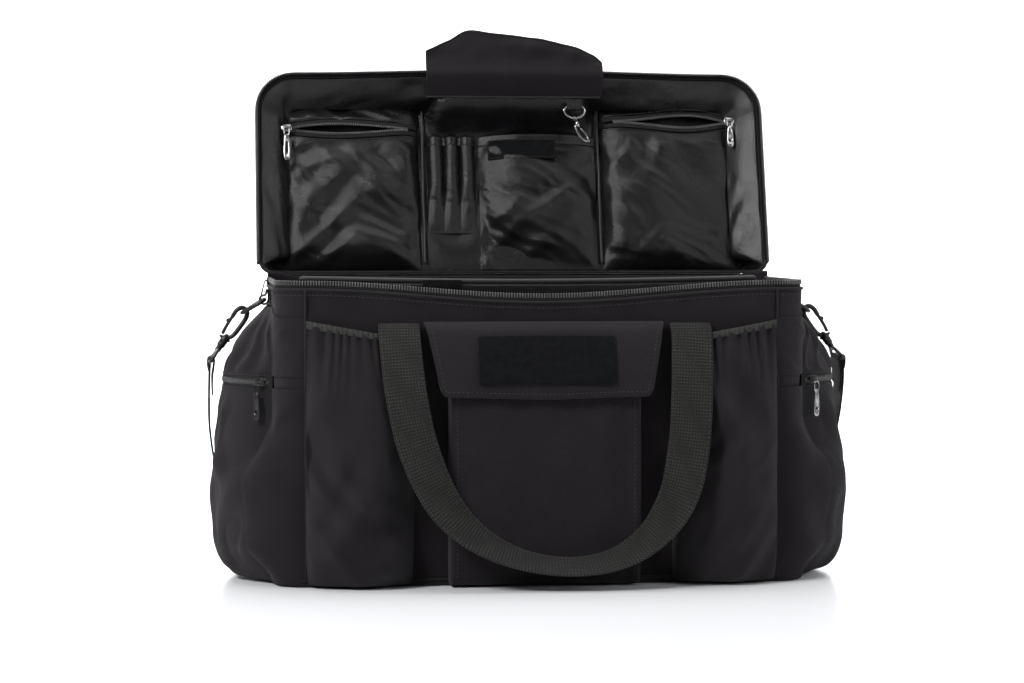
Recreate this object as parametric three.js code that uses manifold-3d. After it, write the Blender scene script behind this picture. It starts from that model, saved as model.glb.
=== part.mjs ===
// Soft-sided flight bag, standing open: a zipped duffel body with a padded lid that hinges at the back.
// Millimetres. +X is the bag's right end seen from the front, -Y is the front, +Z is up.
// The origin is the centre of the underside.
import * as THREE from 'three';
import Module from 'manifold-3d';

const wasm = await Module();
wasm.setup();

// Driving dimensions
const GAP = 0.3; // between pieces that touch
const HALF_LENGTH = 244; // body, outside of the end gussets
const HALF_DEPTH = 108; // body, outside of the front and back panels
const CORNER_RADIUS = 28; // upright corners of the body, in plan
const WALL = 3.5; // padded body fabric
const BOTTOM_THICKNESS = 5;
const BOARD_THICKNESS = 3;
const RIM_HEIGHT = 269; // top of the body fabric
const RIM_SAG = 12; // how far the front rim hangs down at its middle
const SAG_HALF_SPAN = 220;
const ZIP_WIDTH = 7; // one half of the main zip
const ZIP_THICKNESS = 1.6;
const ZIP_INSET = 1; // from the outside of the fabric it is sewn to

const HINGE_HEIGHT = 277.5; // lid hinge line, along the top of the back panel
const LID_ANGLE = 106; // how far the lid stands open, in degrees from closed
const LID_GAP = 1.3; // hinge line to the lid's zip plane
const LID_TRAY = 38; // depth of the lid's gusset
const LID_EDGE = { half: 255, rear: 0, front: 211, rearRadius: 25, frontRadius: 40 };
const LID_TOP = { half: 238, rear: 12, front: 199, rearRadius: 20, frontRadius: 30 };
const GUSSET_THICKNESS = 3;
const LINING_DEPTH = 36; // back of the lining, from the zip plane
const LINING_THICKNESS = 1.2;
const FLAP_SEAM = { v: 186, d: 8 }; // organiser flap seam: up the lid, and in from the zip plane
const RAMP = { middle: 1, full: 71, zero: 87, start: 150 }; // where the lining rises to that seam

const POCKET_CHORD = 80; // end pockets: half their width on the gusset
const END_ZIP = { low: 178.3, high: 189.7, rise: 44 };
const STRAP_WIDTH = 38;
const STRAP_THICKNESS = 2;
const HANDLE_THICKNESS = 2.4;

const FINISHES = {
  twill: { color: 0x232023, roughness: 0.92, metalness: 0 },
  nylon: { color: 0x1a191c, roughness: 0.38, metalness: 0 },
  webbing: { color: 0x30302e, roughness: 0.8, metalness: 0 },
  loop: { color: 0x101112, roughness: 1, metalness: 0 },
  elastic: { color: 0x3a3a37, roughness: 0.85, metalness: 0 },
  zip: { color: 0x141414, roughness: 0.5, metalness: 0 },
  board: { color: 0x2c2c2e, roughness: 0.6, metalness: 0 },
  blackMetal: { color: 0x1b1b1c, roughness: 0.35, metalness: 0.9 },
  nickel: { color: 0xb9b9b6, roughness: 0.25, metalness: 1 },
};

const point = (x, y, z) => new THREE.Vector3(x, y, z);
const radians = (degrees) => (degrees * Math.PI) / 180;
const mix = (a, b, t) => a + (b - a) * t;
const clamp = (value) => Math.min(1, Math.max(0, value));
const smooth = (t) => clamp(t) ** 2 * (3 - 2 * clamp(t));
const range = (count) => Array.from({ length: count }, (_, i) => i);
const spread = (low, high, count) => range(count).map((i) => mix(low, high, i / (count - 1)));

const bag = new THREE.Group();
const lid = new THREE.Group();
lid.position.set(0, HALF_DEPTH, HINGE_HEIGHT);
lid.rotation.x = -radians(LID_ANGLE);
bag.add(lid);

function add(name, geometry, finish, parent = bag) {
  const mesh = new THREE.Mesh(geometry, new THREE.MeshStandardMaterial(FINISHES[finish]));
  mesh.name = name;
  parent.add(mesh);
  return mesh;
}

// ---- Shape makers ----

// A closed geometry, with its faces turned to point out.
function closed(points, faces) {
  let volume = 0;
  for (let i = 0; i < faces.length; i += 3) {
    const [a, b, c] = [points[faces[i]], points[faces[i + 1]], points[faces[i + 2]]];
    volume += a.dot(b.clone().cross(c));
  }
  const turned = volume < 0 ? faces.toReversed() : faces;
  const geometry = new THREE.BufferGeometry();
  const coordinates = points.flatMap((p) => [p.x, p.y, p.z]);
  geometry.setAttribute('position', new THREE.Float32BufferAttribute(coordinates, 3));
  geometry.setIndex(turned);
  geometry.computeVertexNormals();
  return geometry;
}

// The closed solid between two equal grids of points. wrap joins the last row to the first.
function sheet(outer, inner, wrap = false) {
  const rows = outer.length;
  const columns = outer[0].length;
  const index = (side, i, j) => side * rows * columns + (i % rows) * columns + j;
  const faces = [];
  const quad = (a, b, c, d) => faces.push(a, b, c, a, c, d);
  const spans = wrap ? rows : rows - 1;
  for (const i of range(spans)) {
    for (const j of range(columns - 1)) {
      quad(index(0, i, j), index(0, i, j + 1), index(0, i + 1, j + 1), index(0, i + 1, j));
      quad(index(1, i, j), index(1, i + 1, j), index(1, i + 1, j + 1), index(1, i, j + 1));
    }
    quad(index(0, i, 0), index(0, i + 1, 0), index(1, i + 1, 0), index(1, i, 0));
    const k = columns - 1;
    quad(index(0, i, k), index(1, i, k), index(1, i + 1, k), index(0, i + 1, k));
  }
  if (!wrap) {
    const last = rows - 1;
    for (const j of range(columns - 1)) {
      quad(index(0, 0, j), index(1, 0, j), index(1, 0, j + 1), index(0, 0, j + 1));
      quad(index(0, last, j), index(0, last, j + 1), index(1, last, j + 1), index(1, last, j));
    }
  }
  return closed([...outer.flat(), ...inner.flat()], faces);
}

// A flat strip along a centre line. across gives the direction of its width at each point.
function ribbon(centres, across, width, thickness) {
  const outer = [];
  const inner = [];
  centres.forEach((centre, i) => {
    const next = centres[Math.min(i + 1, centres.length - 1)];
    const previous = centres[Math.max(i - 1, 0)];
    const tangent = next.clone().sub(previous).normalize();
    const side = across[i].clone().addScaledVector(tangent, -across[i].dot(tangent)).normalize();
    const normal = tangent.clone().cross(side);
    const edge = (sign) => centre.clone().addScaledVector(side, (sign * width) / 2);
    outer.push([-1, 1].map((sign) => edge(sign).addScaledVector(normal, thickness / 2)));
    inner.push([-1, 1].map((sign) => edge(sign).addScaledVector(normal, -thickness / 2)));
  });
  return sheet(outer, inner);
}

// A round bar along an open curve.
function rod(points, radius, steps, sides = 6) {
  const section = new THREE.Shape();
  section.absarc(0, 0, radius, 0, Math.PI * 2);
  const path = new THREE.CatmullRomCurve3(points, false, 'centripetal');
  const settings = { extrudePath: path, steps, curveSegments: sides, bevelEnabled: false };
  return new THREE.ExtrudeGeometry(section, settings);
}

// A round bar bent into a closed loop.
function loop(points, radius, steps, sides = 6) {
  const path = new THREE.CatmullRomCurve3(points, true, 'centripetal');
  return new THREE.TubeGeometry(path, steps, radius, sides, true);
}

function toSolid(geometry) {
  const source = geometry.index ? geometry.toNonIndexed() : geometry;
  const position = source.attributes.position;
  const seen = new Map();
  const vertices = [];
  const triangles = [];
  for (const i of range(position.count)) {
    const xyz = [position.getX(i), position.getY(i), position.getZ(i)];
    const key = xyz.map((value) => Math.round(value * 1e4)).join();
    if (!seen.has(key)) {
      seen.set(key, seen.size);
      vertices.push(...xyz);
    }
    triangles.push(seen.get(key));
  }
  const kept = range(triangles.length / 3)
    .map((i) => triangles.slice(3 * i, 3 * i + 3))
    .filter((face) => new Set(face).size === 3);
  const vertProperties = new Float32Array(vertices);
  const triVerts = new Uint32Array(kept.flat());
  return new wasm.Manifold(new wasm.Mesh({ numProp: 3, vertProperties, triVerts }));
}

function fromSolid(solid) {
  const mesh = solid.getMesh();
  const geometry = new THREE.BufferGeometry();
  geometry.setAttribute('position', new THREE.BufferAttribute(new Float32Array(mesh.vertProperties), 3));
  geometry.setIndex(new THREE.BufferAttribute(new Uint32Array(mesh.triVerts), 1));
  geometry.computeVertexNormals();
  return geometry;
}

const joined = (...geometries) => fromSolid(geometries.map(toSolid).reduce((a, b) => a.add(b)));
const cut = (geometry, tool) => fromSolid(toSolid(geometry).subtract(toSolid(tool)));

function box(low, high) {
  const size = high.map((value, i) => value - low[i]);
  const centre = high.map((value, i) => (value + low[i]) / 2);
  return new THREE.BoxGeometry(...size).translate(...centre);
}

function roundedRectangle(left, bottom, right, top, radius) {
  const shape = new THREE.Shape();
  shape.absarc(right - radius, bottom + radius, radius, -Math.PI / 2, 0);
  shape.absarc(right - radius, top - radius, radius, 0, Math.PI / 2);
  shape.absarc(left + radius, top - radius, radius, Math.PI / 2, Math.PI);
  shape.absarc(left + radius, bottom + radius, radius, Math.PI, 1.5 * Math.PI);
  return shape;
}

const plate = (shape, depth, segments = 4) =>
  new THREE.ExtrudeGeometry(shape, { depth, bevelEnabled: false, curveSegments: segments });

// Points of a round arc over a chord: how far along the chord, and how far out.
function arch(half, rise, count = 11) {
  const radius = (half * half + rise * rise) / (2 * rise);
  const reach = rise > half ? Math.PI - Math.asin(half / radius) : Math.asin(half / radius);
  return spread(-reach, reach, count).map((angle) => [
    radius * Math.sin(angle),
    radius * Math.cos(angle) - radius + rise,
  ]);
}

// Points of a flat-fronted section with small round corners.
function flatFront(half, rise) {
  const corner = Math.min(4, rise / 2);
  const front = [-half + corner, half - corner].map((along) => [along, rise]);
  return [[-half, 0], [-half, rise - corner], ...front, [half, rise - corner], [half, 0]];
}

// A pouch wall that stands out from a flat wall and is open towards it.
// profile lists, from the bottom up, the height, half the width and the rise of the outside.
function pouch(profile, thickness, section, place) {
  const rows = profile.map(([height, half, rise], i) => {
    const above = profile[Math.min(i + 1, profile.length - 1)];
    const below = profile[Math.max(i - 1, 0)];
    const [up, out] = [above[0] - below[0], above[2] - below[2]];
    const length = Math.hypot(up, out);
    const inset = (thickness * up) / length;
    const lift = (thickness * out) / length;
    const inner = section(half - inset, rise - inset);
    return {
      outer: section(half, rise).map(([along, depth]) => place(along, depth, height)),
      inner: inner.map(([along, depth]) => place(along, depth, height + lift)),
    };
  });
  return sheet(rows.map((row) => row.outer), rows.map((row) => row.inner));
}

// ---- Body ----

// How far the front rim hangs down at x.
function rimSag(x) {
  return Math.abs(x) < SAG_HALF_SPAN ? RIM_SAG * Math.cos((Math.PI * x) / (2 * SAG_HALF_SPAN)) ** 2 : 0;
}


const floorOfWalls = BOTTOM_THICKNESS + GAP;

// One end of the body's outline in plan, from the front seam round to the back seam.
function endOutline(side, inset, steps = 4) {
  const radius = CORNER_RADIUS - inset;
  const [cx, cy] = [HALF_LENGTH - CORNER_RADIUS, HALF_DEPTH - CORNER_RADIUS];
  const corner = (start, centreY) =>
    range(steps + 1).map((i) => {
      const angle = start + (Math.PI / 2) * (i / steps);
      return [side * (cx + radius * Math.cos(angle)), centreY + radius * Math.sin(angle)];
    });
  return [...corner(-Math.PI / 2, -cy), ...corner(0, cy)];
}

function addBody() {
  const seam = HALF_LENGTH - CORNER_RADIUS - GAP;
  const columns = spread(-seam, seam, 13);
  const wall = (front, sag) => {
    const face = (y) => columns.map((x) => [floorOfWalls, RIM_HEIGHT - sag(x)].map((z) => point(x, y, z)));
    return sheet(face(front), face(front + WALL));
  };
  add('front_panel', wall(-HALF_DEPTH, rimSag), 'twill');
  add('back_panel', wall(HALF_DEPTH - WALL, () => 0), 'twill');

  for (const [name, side] of [['left_gusset', -1], ['right_gusset', 1]]) {
    const rows = (inset) =>
      endOutline(side, inset).map(([x, y]) => [floorOfWalls, RIM_HEIGHT].map((z) => point(x, y, z)));
    add(name, sheet(rows(0), rows(WALL)), 'twill');
  }

  const floor = roundedRectangle(-HALF_LENGTH, -HALF_DEPTH, HALF_LENGTH, HALF_DEPTH, CORNER_RADIUS);
  add('bottom_panel', plate(floor, BOTTOM_THICKNESS), 'twill');
  const edge = WALL + 2.5;
  const board = roundedRectangle(
    -HALF_LENGTH + edge, -HALF_DEPTH + edge, HALF_LENGTH - edge, HALF_DEPTH - edge, CORNER_RADIUS - edge
  );
  add('base_board', plate(board, BOARD_THICKNESS).translate(0, 0, floorOfWalls), 'board');

  // Main zip, body half: along both ends and the front.
  const zipRow = (inset) => {
    const left = endOutline(-1, inset).toReversed().slice(4);
    const right = endOutline(1, inset).slice(0, -4);
    const front = spread(-seam, seam, 17).slice(1, -1).map((x) => [x, -HALF_DEPTH + inset]);
    return [...left, ...front, ...right].map(([x, y]) => {
      const low = RIM_HEIGHT + GAP - rimSag(x);
      return [point(x, y, low), point(x, y, low + ZIP_WIDTH)];
    });
  };
  add('body_zip_half', sheet(zipRow(ZIP_INSET), zipRow(ZIP_INSET + ZIP_THICKNESS)), 'zip');

  const tapeHalf = LID_EDGE.half - LID_EDGE.rearRadius - 16;
  const tape = box(
    [-tapeHalf, HALF_DEPTH - ZIP_INSET - ZIP_THICKNESS, RIM_HEIGHT + GAP],
    [tapeHalf, HALF_DEPTH - ZIP_INSET, HINGE_HEIGHT - 0.4]
  );
  add('hinge_tape', tape, 'twill');
}

function addDivider() {
  const half = 214;
  const padding = 2.5;
  const base = floorOfWalls + BOARD_THICKNESS + GAP;
  const top = (x) => 276 - 3 * Math.cos((Math.PI * x) / (2 * half));
  const columns = spread(-half, half, 9);
  const face = (y) => columns.map((x) => [base, top(x)].map((z) => point(x, y, z)));
  const tabs = [-1, 1].flatMap((side) =>
    [[60, 84], [246, 270]].map(([low, high]) => {
      const ends = [side * (half - 2), side * (HALF_LENGTH - WALL - GAP)].sort((a, b) => a - b);
      return box([ends[0], -0.9, low], [ends[1], 0.9, high]);
    })
  );
  add('divider_panel', joined(sheet(face(-padding), face(padding)), ...tabs), 'nylon');
}

// ---- Front pockets ----

const onFront = (middle, tilt = () => 0) => (along, depth, height) =>
  point(middle + along, -(HALF_DEPTH + GAP + depth), height + tilt(along, height));

const ELASTIC = { middle: 167, half: 49, top: 226, tilt: 8, thickness: 2.2, topRise: 10.5 };

function addElasticPockets() {
  const { half, top, middle, tilt, thickness, topRise } = ELASTIC;
  const profile = [
    [0.5, half - 8, 0.8], [0.5, half - 3, 16], [6, half - 1, 27], [30, half, 34], [80, half, 38],
    [130, half, 35], [175, half, 26], [205, half, 16.5], [top, half, topRise],
  ];
  for (const [name, side] of [['left', -1], ['right', 1]]) {
    const slope = (along, height) => side * tilt * (along / half) * (height / top) ** 3;
    const place = onFront(side * middle, slope);
    add(`${name}_elastic_pocket`, pouch(profile, thickness, arch, place), 'twill');
    const binding = [[top + GAP + 0.1, half - 0.6, topRise - 0.2], [top + 5.5, half - 0.6, topRise - 0.4]];
    add(`${name}_elastic_binding`, pouch(binding, thickness - 0.4, arch, place), 'elastic');
  }
}

const CENTRE_POCKET = { half: 87, thickness: 2.2, top: 226 };

function addCentrePocket() {
  const { half, thickness, top } = CENTRE_POCKET;
  const profile = [
    [0.5, half - 4, 0.8], [0.5, half - 2, 15], [5, half, 20], [60, half, 24], [150, half, 23],
    [185, half, 20], [205, half, 15.5], [top, half, 9.5],
  ];
  add('centre_pocket', pouch(profile, thickness, flatFront, onFront(0)), 'twill');

  // The flap starts in the seam, passes over the pocket's mouth and hangs in front of it.
  const flapRows = [
    { out: 1.6, z: 237.2, half: 108 }, { out: 12.5, z: 231.5, half: 107 }, { out: 20.5, z: 215, half: 104 },
    { out: 26, z: 196, half: 100 }, { out: 28, z: 180, half: 97 }, { out: 28.4, z: 173.5, half: 92 },
  ];
  const flapThickness = 2.4;
  const face = (offset) =>
    flapRows.map((row, i) => {
      const above = flapRows[Math.max(i - 1, 0)];
      const below = flapRows[Math.min(i + 1, flapRows.length - 1)];
      const [out, up] = [below.out - above.out, above.z - below.z];
      const length = Math.hypot(out, up);
      return spread(-row.half, row.half, 5).map((x) =>
        point(x, -(HALF_DEPTH + row.out + (offset * up) / length), row.z + (offset * out) / length)
      );
    });
  add('centre_pocket_flap', sheet(face(flapThickness / 2), face(-flapThickness / 2)), 'twill');

  // The loop patch lies on the flap's face, over its steeper lower part.
  const patchHalf = 62;
  const patchRows = [[17.2, 222.7], [20.5, 215], [26, 196], [28, 180]];
  const patch = (offset) =>
    patchRows.map(([out, z]) =>
      [-patchHalf, patchHalf].map((x) => point(x, -(HALF_DEPTH + out + offset * 0.97), z + offset * 0.24))
    );
  add('flap_loop_patch', sheet(patch(flapThickness / 2 + 1.9), patch(flapThickness / 2 + 0.4)), 'loop');
}

// ---- Carry handles ----

// Each row: across the bag, out from the panel, height, and the twist out of the handle's own plane.
const FRONT_HANDLE = [
  [-132, 2.2, 237.6, 0], [-132, 8, 234.5, 0], [-132, 14.5, 226, 0], [-131, 22, 210, 0], [-127, 34, 172, 4],
  [-116, 39, 124, 12], [-92, 42, 74, 30], [-60, 44, 44, 52], [-22, 45, 27, 66], [20, 46, 21, 70],
  [60, 45, 27, 66], [94, 43, 48, 52], [117, 42, 82, 30], [127, 39, 124, 12], [131, 34, 172, 4],
  [133, 22, 210, 0], [134, 14.5, 226, 0], [134, 8, 234.5, 0], [134, 2.2, 237.6, 0],
];
const BACK_HANDLE = [
  [-130, 2.2, 237.5, 0], [-130, 7, 215, 0], [-127, 11, 170, 0], [-117, 13, 122, 8], [-92, 15, 76, 22],
  [-52, 18, 44, 45], [0, 20, 34, 55], [52, 18, 44, 45], [92, 15, 76, 22], [117, 13, 122, 8],
  [127, 11, 170, 0], [130, 7, 215, 0], [130, 2.2, 237.5, 0],
];

function addHandle(name, route, facing) {
  const place = (across, out, height) => point(across, facing * (HALF_DEPTH + out), height);
  const curve = new THREE.CatmullRomCurve3(route.map((row) => place(...row)), false, 'centripetal');
  const twists = new THREE.CatmullRomCurve3(route.map((row) => point(row[3], 0, 0)), false, 'catmullrom');
  const steps = 44;
  const centres = [];
  const across = [];
  for (const i of range(steps + 1)) {
    const t = i / steps;
    const tangent = curve.getTangent(t);
    const outward = point(0, facing, 0);
    const flat = tangent.clone().cross(outward).normalize();
    const twist = radians(twists.getPoint(t).x);
    centres.push(curve.getPoint(t));
    across.push(flat.multiplyScalar(Math.cos(twist)).addScaledVector(outward, Math.sin(twist)));
  }
  add(name, ribbon(centres, across, STRAP_WIDTH, HANDLE_THICKNESS), 'webbing');
}

// ---- End pockets and their zips ----

const onEnd = (side) => (along, depth, height) => point(side * (HALF_LENGTH + GAP + depth), along, height);
const endZipRadius = (POCKET_CHORD ** 2 + END_ZIP.rise ** 2) / (2 * END_ZIP.rise);
const endZipCentre = HALF_LENGTH + GAP + END_ZIP.rise - endZipRadius;
const END_SLIDER_ANGLE = 50; // where the slider is parked, from the end of the bag towards the front
const END_SLIDER = { low: 179.5, high: 188.3, depth: 5.4, length: 12 };

// A pull tab: a flat tongue with a hole near its foot, hanging down from its hinge. Built in X and Z.
function pullTab(length, width, thickness) {
  const outline = roundedRectangle(-width / 2, -length, width / 2, 0.5, 2);
  const hole = new THREE.Path();
  hole.absarc(0, -length * 0.72, width * 0.22, 0, Math.PI * 2, true);
  outline.holes.push(hole);
  return plate(outline, thickness, 2).rotateX(Math.PI / 2).translate(0, thickness / 2, 0);
}

function addEndPockets() {
  const lower = [
    [0.5, 66, 0.8], [0.5, 74, 30], [5, 78, 38], [14, 80, 44], [40, 80, 51], [84, 80, 54], [122, 80, 51.5],
    [150, 80, 48], [178, 80, 44.5],
  ];
  const upper = [
    [190.8, 80, 43.5], [203, 79, 39], [216, 77, 32.5], [229, 73, 23.5], [242, 68, 12], [251, 63, 3.4],
  ];
  const band = [[END_ZIP.low, POCKET_CHORD, END_ZIP.rise], [END_ZIP.high, POCKET_CHORD, END_ZIP.rise]];
  for (const [name, side] of [['left', -1], ['right', 1]]) {
    add(`${name}_end_pocket`, pouch(lower, 2.2, arch, onEnd(side)), 'twill');
    add(`${name}_end_pocket_top`, pouch(upper, 2.2, arch, onEnd(side)), 'twill');
    add(`${name}_end_zip`, pouch(band, 1.6, arch, onEnd(side)), 'zip');

    const inner = endZipRadius + 0.5;
    const slider = box(
      [inner, -END_SLIDER.length / 2, END_SLIDER.low],
      [inner + END_SLIDER.depth, END_SLIDER.length / 2, END_SLIDER.high]
    );
    const tab = pullTab(32, 8, 1.6).rotateZ(Math.PI / 2);
    tab.translate(inner + END_SLIDER.depth + 1.4, 0, END_SLIDER.low + 2);
    for (const [label, geometry] of [['slider', slider], ['pull', tab]]) {
      const angle = side > 0 ? -radians(END_SLIDER_ANGLE) : Math.PI + radians(END_SLIDER_ANGLE);
      const mesh = add(`${name}_end_${label}`, geometry, 'blackMetal');
      mesh.rotation.z = angle;
      mesh.position.x = side * endZipCentre;
    }
  }
}

// ---- Main zip sliders, parked at the back ends of the zip ----

// Their pulls lean out over the end pockets.
const MAIN_SLIDER = { y: 76, length: 12, inner: 5.6, outer: 1.8, low: 269.4, high: 277.6, tilt: 14 };

function addMainSliders() {
  const zipFace = HALF_LENGTH - ZIP_INSET;
  for (const [name, side] of [['left', -1], ['right', 1]]) {
    const { y, length, inner, outer, low, high, tilt } = MAIN_SLIDER;
    const across = [side * (HALF_LENGTH - inner), side * (HALF_LENGTH + outer)].sort((a, b) => a - b);
    const slot = [side * (zipFace - ZIP_THICKNESS - 0.6), side * (zipFace + 0.6)].sort((a, b) => a - b);
    const block = box([across[0], y - length / 2, low + GAP], [across[1], y + length / 2, high]);
    const channel = box([slot[0], y - length, low - 1], [slot[1], y + length, high - 0.8]);
    add(`${name}_main_slider`, cut(block, channel), 'blackMetal');
    const tab = pullTab(24, 7, 1.4).rotateZ(Math.PI / 2).rotateY(-side * radians(tilt));
    tab.translate(side * (HALF_LENGTH + outer + 1.2), y, low + 3);
    add(`${name}_main_pull`, tab, 'blackMetal');
  }
}

// ---- Shoulder strap hardware ----

const RING = { x: 249.5, y: 10, z: 257, half: 14, reach: 24, slope: -31, wire: 1.9 };
const HOOK_SLOPE = -56.6; // the hook's own line, in degrees from level
const ringEnd = [
  RING.x + RING.reach * Math.cos(radians(RING.slope)),
  RING.z + RING.reach * Math.sin(radians(RING.slope)),
];
const hookLine = [Math.cos(radians(HOOK_SLOPE)), Math.sin(radians(HOOK_SLOPE))];
const hookTop = ringEnd.map((value, i) => value - 4.7 * hookLine[i]);

// A place in the hook's plane: down its length, square to it (positive is outward), and along Y.
function onHook(side, down, square, along = 0) {
  const x = hookTop[0] + down * hookLine[0] - square * hookLine[1];
  const z = hookTop[1] + down * hookLine[1] + square * hookLine[0];
  return point(side * x, RING.y + along, z);
}

function barrel(side, from, to, radius) {
  const length = to - from;
  const geometry = new THREE.CylinderGeometry(radius, radius, length, 10);
  const start = onHook(side, from, 0);
  const end = onHook(side, to, 0);
  const direction = end.clone().sub(start).normalize();
  geometry.applyQuaternion(new THREE.Quaternion().setFromUnitVectors(point(0, 1, 0), direction));
  const middle = start.add(end).multiplyScalar(0.5);
  return geometry.translate(middle.x, middle.y, middle.z);
}

function addStrapHardware() {
  for (const [name, side] of [['left', -1], ['right', 1]]) {
    // Webbing tab: a flat tail on the gusset and an eye round the ring's straight bar.
    const profile = new THREE.Shape();
    const face = HALF_LENGTH + GAP;
    const eye = 5.2;
    const tail = RIM_HEIGHT - 1.5;
    profile.moveTo(face + 2.8, tail);
    profile.lineTo(face, tail);
    profile.absarc(RING.x, RING.z, eye, radians(200), radians(470));
    const bore = new THREE.Path();
    bore.absarc(RING.x, RING.z, RING.wire + 1.3, 0, Math.PI * 2, true);
    profile.holes.push(bore);
    const width = 24;
    const tab = plate(profile, width, 5).rotateX(Math.PI / 2).translate(0, RING.y + width / 2, 0);
    if (side < 0) {
      tab.rotateZ(Math.PI).translate(0, 2 * RING.y, 0);
    }
    add(`${name}_ring_tab`, tab, 'webbing');

    const onRing = (reach, along) =>
      point(
        side * (RING.x + reach * Math.cos(radians(RING.slope))),
        RING.y + along,
        RING.z + reach * Math.sin(radians(RING.slope))
      );
    const { half, reach } = RING;
    const bend = [
      onRing(0, -half + 2), onRing(0, -half / 3), onRing(0, half / 3), onRing(0, half - 2),
      onRing(3, half), onRing(10, half - 0.5), onRing(18, half - 5), onRing(reach, 0),
      onRing(18, -half + 5), onRing(10, -half + 0.5), onRing(3, -half),
    ];
    add(`${name}_ring`, loop(bend, RING.wire, 22), 'blackMetal');

    const body = rod(
      [[12, 5.6], [5, 5.4], [0.8, 3], [0, 0], [0.8, -3], [5, -5.4], [18, -5.6], [28, -4.2], [34, 0]].map(
        ([down, square]) => onHook(side, down, square)
      ),
      2.1, 13
    );
    add(`${name}_hook`, joined(body, barrel(side, 32, 42, 4)), 'blackMetal');
    const gateLine = [[12.6, 5.6], [21, 5.6], [29.8, 4.8]];
    const gate = rod(gateLine.map(([down, square]) => onHook(side, down, square)), 1.7, 3);
    add(`${name}_hook_gate`, gate, 'blackMetal');

    const bar = STRAP_WIDTH / 2 + 2.4;
    const frame = [
      [46.5, -6], [46.5, 6], [49, 13], [55.5, bar], [57.5, bar - 1.2], [57.5, 8], [57.5, -8],
      [57.5, -bar + 1.2], [55.5, -bar], [49, -13],
    ].map(([down, along]) => onHook(side, down, 0, along));
    add(`${name}_swivel`, joined(loop(frame, 1.7, 20), barrel(side, 42.4, 47, 2.8)), 'blackMetal');
  }
}

// Shoulder strap: from the right swivel down past the end pocket, along the floor at the back, and up again.
const STRAP_DROP = [
  [300, 10, 198], [300.6, 10.5, 188], [301, 18, 168], [300, 38, 133], [293, 64, 88], [281, 96, 42],
  [265, 121, 13], [238, 137, 2.6],
];
const STRAP_RUN = [[200, 148, 1.4], [130, 156, 1.4], [60, 150, 1.4], [0, 144, 1.4]];

function addStrap() {
  const right = [...STRAP_DROP, ...STRAP_RUN];
  const left = right.slice(0, -1).toReversed().map(([x, y, z]) => [-x, y, z]);
  const curve = new THREE.CatmullRomCurve3([...right, ...left].map((p) => point(...p)), false, 'centripetal');
  const steps = 64;
  const centres = range(steps + 1).map((i) => curve.getPoint(i / steps));
  const across = centres.map(() => point(0, 1, 0));
  add('shoulder_strap', ribbon(centres, across, STRAP_WIDTH, STRAP_THICKNESS), 'webbing');
}

// ---- Lid. u runs along +X, v up the lid from the hinge, d in from the zip plane to the panel. ----

const onLid = (u, v, d) => point(u, -v, LID_GAP + d);

// Outline at one depth: up the right side, along the front and down the left side, then the hinge side.
function lidOutline(depth, inset) {
  const t = clamp(depth / LID_TRAY);
  const sizes = Object.keys(LID_EDGE).map((key) => [key, mix(LID_EDGE[key], LID_TOP[key], t)]);
  const size = Object.fromEntries(sizes);
  const [half, rear, front] = [size.half - inset, size.rear + inset, size.front - inset];
  const corner = (radius, cu, cv, start, steps) =>
    range(steps + 1).map((i) => {
      const angle = start + (Math.PI / 2) * (i / steps);
      return [cu + radius * Math.cos(angle), cv + radius * Math.sin(angle)];
    });
  const round = size.frontRadius - inset;
  const small = size.rearRadius - inset;
  const run = spread(half - round, -half + round, 15).slice(1, -1).map((u) => [u, front]);
  const open = [
    [half, rear + small],
    ...corner(round, half - round, front - round, 0, 5),
    ...run,
    ...corner(round, -half + round, front - round, Math.PI / 2, 5),
    [-half, rear + small],
  ];
  const hinge = [
    ...corner(small, -half + small, rear + small, Math.PI, 3).slice(1),
    ...corner(small, half - small, rear + small, 1.5 * Math.PI, 3).slice(0, -1),
  ];
  return { open, hinge };
}

// The lid's front edge hangs down at its middle as the body's rim does, so that the zip halves meet.
const lidSag = (u, v) => (v > LID_EDGE.front - 12 ? rimSag(u) : 0);

function addLidShell() {
  const zipEdge = ZIP_WIDTH + GAP;
  const wallRows = (inset) => {
    const depths = [0, 0.5, 1].map((t) => mix(zipEdge, LID_TRAY, t));
    const rings = depths.map((depth) => lidOutline(depth, inset));
    const hingeDepths = [0.6, ...depths.slice(1)];
    const hingeRings = hingeDepths.map((depth) => lidOutline(depth, inset));
    const open = rings[0].open.map((_, i) =>
      rings.map((ring, level) => {
        const [u, v] = ring.open[i];
        return onLid(u, v, depths[level] - lidSag(u, v) * (1 - level / 2));
      })
    );
    const hinge = rings[0].hinge.map((_, i) =>
      hingeRings.map((ring, level) => onLid(...ring.hinge[i], hingeDepths[level]))
    );
    return [...open, ...hinge];
  };
  add('lid_gusset', sheet(wallRows(0), wallRows(GUSSET_THICKNESS), true), 'twill', lid);

  const zipRows = (inset) => {
    const rows = [0, ZIP_WIDTH].map((depth) => lidOutline(depth, inset).open);
    return rows[0].map((_, i) =>
      rows.map((row, level) => {
        const [u, v] = row[i];
        const end = i === 0 || i === rows[0].length - 1 ? 2 : 0;
        return onLid(u, v + end, level * ZIP_WIDTH - lidSag(u, v));
      })
    );
  };
  add('lid_zip_half', sheet(zipRows(ZIP_INSET - 0.3), zipRows(ZIP_INSET - 0.3 + ZIP_THICKNESS)), 'zip', lid);

  const { half, rear, front, frontRadius } = LID_TOP;
  const panel = plate(roundedRectangle(-half, -front, half, -rear, frontRadius), 3);
  add('lid_panel', panel.translate(0, 0, LID_GAP + LID_TRAY + GAP), 'twill', lid);
}

// How far the lining is raised towards the flap's seam.
function liningRise(u, v) {
  const across = 1 - smooth((Math.abs(u - RAMP.middle) - RAMP.full) / (RAMP.zero - RAMP.full));
  const up = smooth((v - RAMP.start) / (FLAP_SEAM.v - RAMP.start));
  return (LINING_DEPTH - FLAP_SEAM.d) * across * up;
}

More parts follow.
